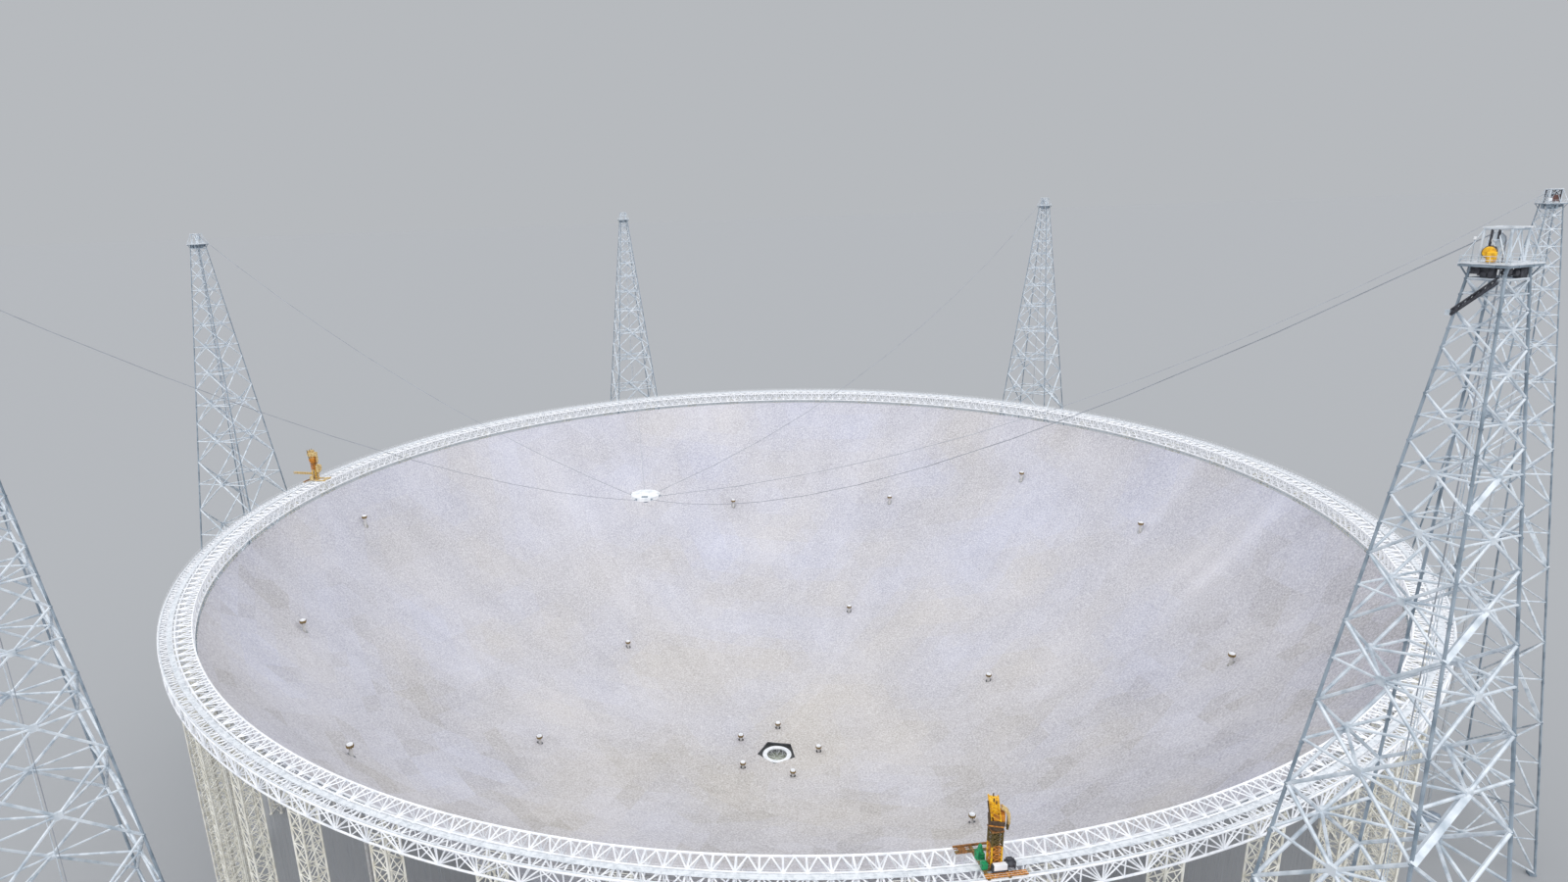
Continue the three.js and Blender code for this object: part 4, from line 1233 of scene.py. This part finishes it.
def derrick_jib(index):
    """Slewing part: turntable, machinery house, the raised jib and the side arm with its hanging bar."""
    house = begin("slewing_house")
    drum((0, 0, 0.3 * M), 1.58 * M, 0.46 * M, 24)
    crate((-1.55, -1.55, 0.5), (1.55, 1.55, 1.15))
    crate((-1.55, -1.75, 1.5), (1.55, 1.75, 2.55))
    end(house, "umber" if index == 1 else "orange")
    round_off(house, 0.08 * M, 1)
    band = begin("house_band")
    crate((-1.6, -1.6, 1.15), (1.6, 1.6, 1.5))
    crate((-1.3, -1.7, 2.5), (1.4, 0.7, 4.1))
    end(band, "orange")
    round_off(band, 0.1 * M, 1)
    jib = begin("raised_jib")
    for x in (-1.25, 1.25):
        for y in (-0.9, 1.1):
            path([(x, y, 2.4), (x, y + 0.75, 7.2)], 0.4, 6)
    for k in range(4):
        low, high = 2.6 + k * 1.1, 3.7 + k * 1.1
        for x in (-1.25, 1.25):
            path([(x, -0.9 + 0.16 * (low - 2.4), low), (x, 1.1 + 0.16 * (high - 2.4), high)], 0.26, 6)
        for y in (-0.9, 1.1):
            path([(-1.25, y + 0.16 * (low - 2.4), low), (1.25, y + 0.16 * (high - 2.4), high)], 0.26, 6)
    crate((-0.95, -0.4, 3.2), (0.95, 1.3, 5.4))
    crate((-1.1, -0.1, 5.4), (1.1, 1.75, 7.1))
    end(jib, "yellow" if index == 1 else "sand")
    round_off(jib, 0.07 * M, 1)
    posts = begin("jib_posts")
    for x in (-0.9, 0.9):
        path([(x, 0.8, 6.9), (x, 0.8, 7.8)], 0.3, 6)
    path([(-1.5, 1.35, 2.6), (-1.5, 2.05, 7.5)], 0.34, 6)
    path([(-1.5, 0.3, 6.9), (-1.5, 0.3, 7.6)], 0.3, 6)
    end(posts, "umber")
    arm = begin("side_arm")
    for x in (-0.4, 0.4):
        path([(x, -0.9, 5.4), (x, -1.9, 4.7), (x, -2.5, 3.5), (x, -2.5, 1.6)], 0.7)
    for y, z in ((-1.9, 4.7), (-2.5, 3.5), (-2.5, 2.4)):
        path([(-0.6, y, z), (0.6, y, z)], 0.5)
    if index == 2:
        crate((-1.6, -2.0, 4.0), (1.6, 2.2, 5.8))
    end(arm, "sand")
    tip = begin("side_arm_tip")
    for x in (-0.4, 0.4):
        path([(x, -2.5, 1.7), (x, -2.3, 0.2)], 0.55)
    path([(-0.6, -2.4, 0.9), (0.6, -2.4, 0.9)], 0.4)
    end(tip, "olive" if index == 1 else "sand")
    return [house, band, jib, posts, arm, tip]


def derrick(index):
    """A derrick on the ring beam: footing, mast and machinery, and the slewing part over them."""
    mast_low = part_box(f"derrick_mast_{index}")[0].z
    jib_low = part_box(f"derrick_jib_{index}")[0].z + SOCKET_DEPTH
    azimuth = DERRICK_AZIMUTHS[index - 1]
    lower, upper = ("orange", "olive") if index == 1 else ("sand", "orange")
    parts = mast_lattice(0.55 * M, MAST_SPLICE, 4, "lower_mast", "yellow", lower)
    parts += mast_lattice(MAST_SPLICE, 9.7 * M, 3, "upper_mast", upper, upper)
    well = begin("climbing_tube")
    drum((0, 0, 3.2 * M), 0.8 * M, 5.6 * M, 12)
    crate((-1.38, -1.38, 9.62), (1.38, 1.38, 9.98))
    end(well, "rust")
    shaft = begin("upper_tube")
    drum((0, 0, 7.8 * M), 0.8 * M, 3.7 * M, 12)
    end(shaft, upper)
    parts += [well, shaft] + derrick_footing(index) + (near_machines() if index == 1 else far_machines())
    made = join(f"derrick_tower_{index}", parts)
    turned = Matrix.Rotation(azimuth, 4, "Z")
    place = Matrix.Translation(polar(DERRICK_CIRCLE, azimuth, mast_low)) @ turned
    made.data.transform(place)
    ride(made, [f"derrick_mast_{index}"])
    upper_part = join(f"derrick_boom_{index}", derrick_jib(index))
    slewed = Matrix.Rotation(SLEW_TURN, 4, "Z")
    upper_part.data.transform(Matrix.Translation(polar(DERRICK_CIRCLE, azimuth, jib_low)) @ slewed)
    ride(upper_part, [f"derrick_jib_{index}"], f"derrick_upper_{index}")


def finish_ropes():
    """The ropes keep their solids and get a steel wire finish."""
    for i in range(TOWERS):
        rope = frame["nodes"][f"rope_{i + 1}"]
        rope.data.materials.clear()
        rope.data.materials.append(MATERIALS["rope"])


# Stage

def stage():
    """Plain pale floor under an even sky, a broad overhead lamp and a soft fill, and the camera."""
    deselect()
    bpy.ops.mesh.primitive_plane_add(size=FLOOR_SIZE)
    floor = bpy.context.object
    floor.name = "floor"
    material, _, shader, _ = new_material("floor_matt", 0.0, 0.95)
    shader.inputs["Base Color"].default_value = hex_colour(FLOOR_TONE)
    shader.inputs["Specular IOR Level"].default_value = 0.1
    floor.data.materials.append(material)
    world = bpy.data.worlds.new("studio")
    world.use_nodes = True
    sky = world.node_tree.nodes["Background"].inputs
    sky["Color"].default_value = hex_colour(SKY_TONE)
    sky["Strength"].default_value = SKY_STRENGTH
    bpy.context.scene.world = world
    for lean, turn, energy, spread in ((18, -15, TOP_LAMP, 150), (62, 12, FILL_LAMP, 60)):
        bpy.ops.object.light_add(type="SUN", rotation=(math.radians(lean), 0, math.radians(turn)))
        lamp = bpy.context.object
        lamp.data.energy = energy
        lamp.data.angle = math.radians(spread)
    bpy.ops.object.camera_add(location=CAMERA_PLACE, rotation=CAMERA_TURN)
    camera = bpy.context.object
    camera.data.lens = CAMERA_LENS
    camera.data.sensor_width = 36
    camera.data.shift_x, camera.data.shift_y = CAMERA_SHIFT
    camera.data.clip_end = 2000
    bpy.context.scene.camera = camera
    bpy.context.scene.view_settings.view_transform = "Standard"


MATERIALS = make_materials()
reflector()
ring_beam()
towers()
feed_cabin()
winch_houses()
docking_platform()
measuring_piers()
derrick(1)
derrick(2)
finish_ropes()
stage()
deselect()
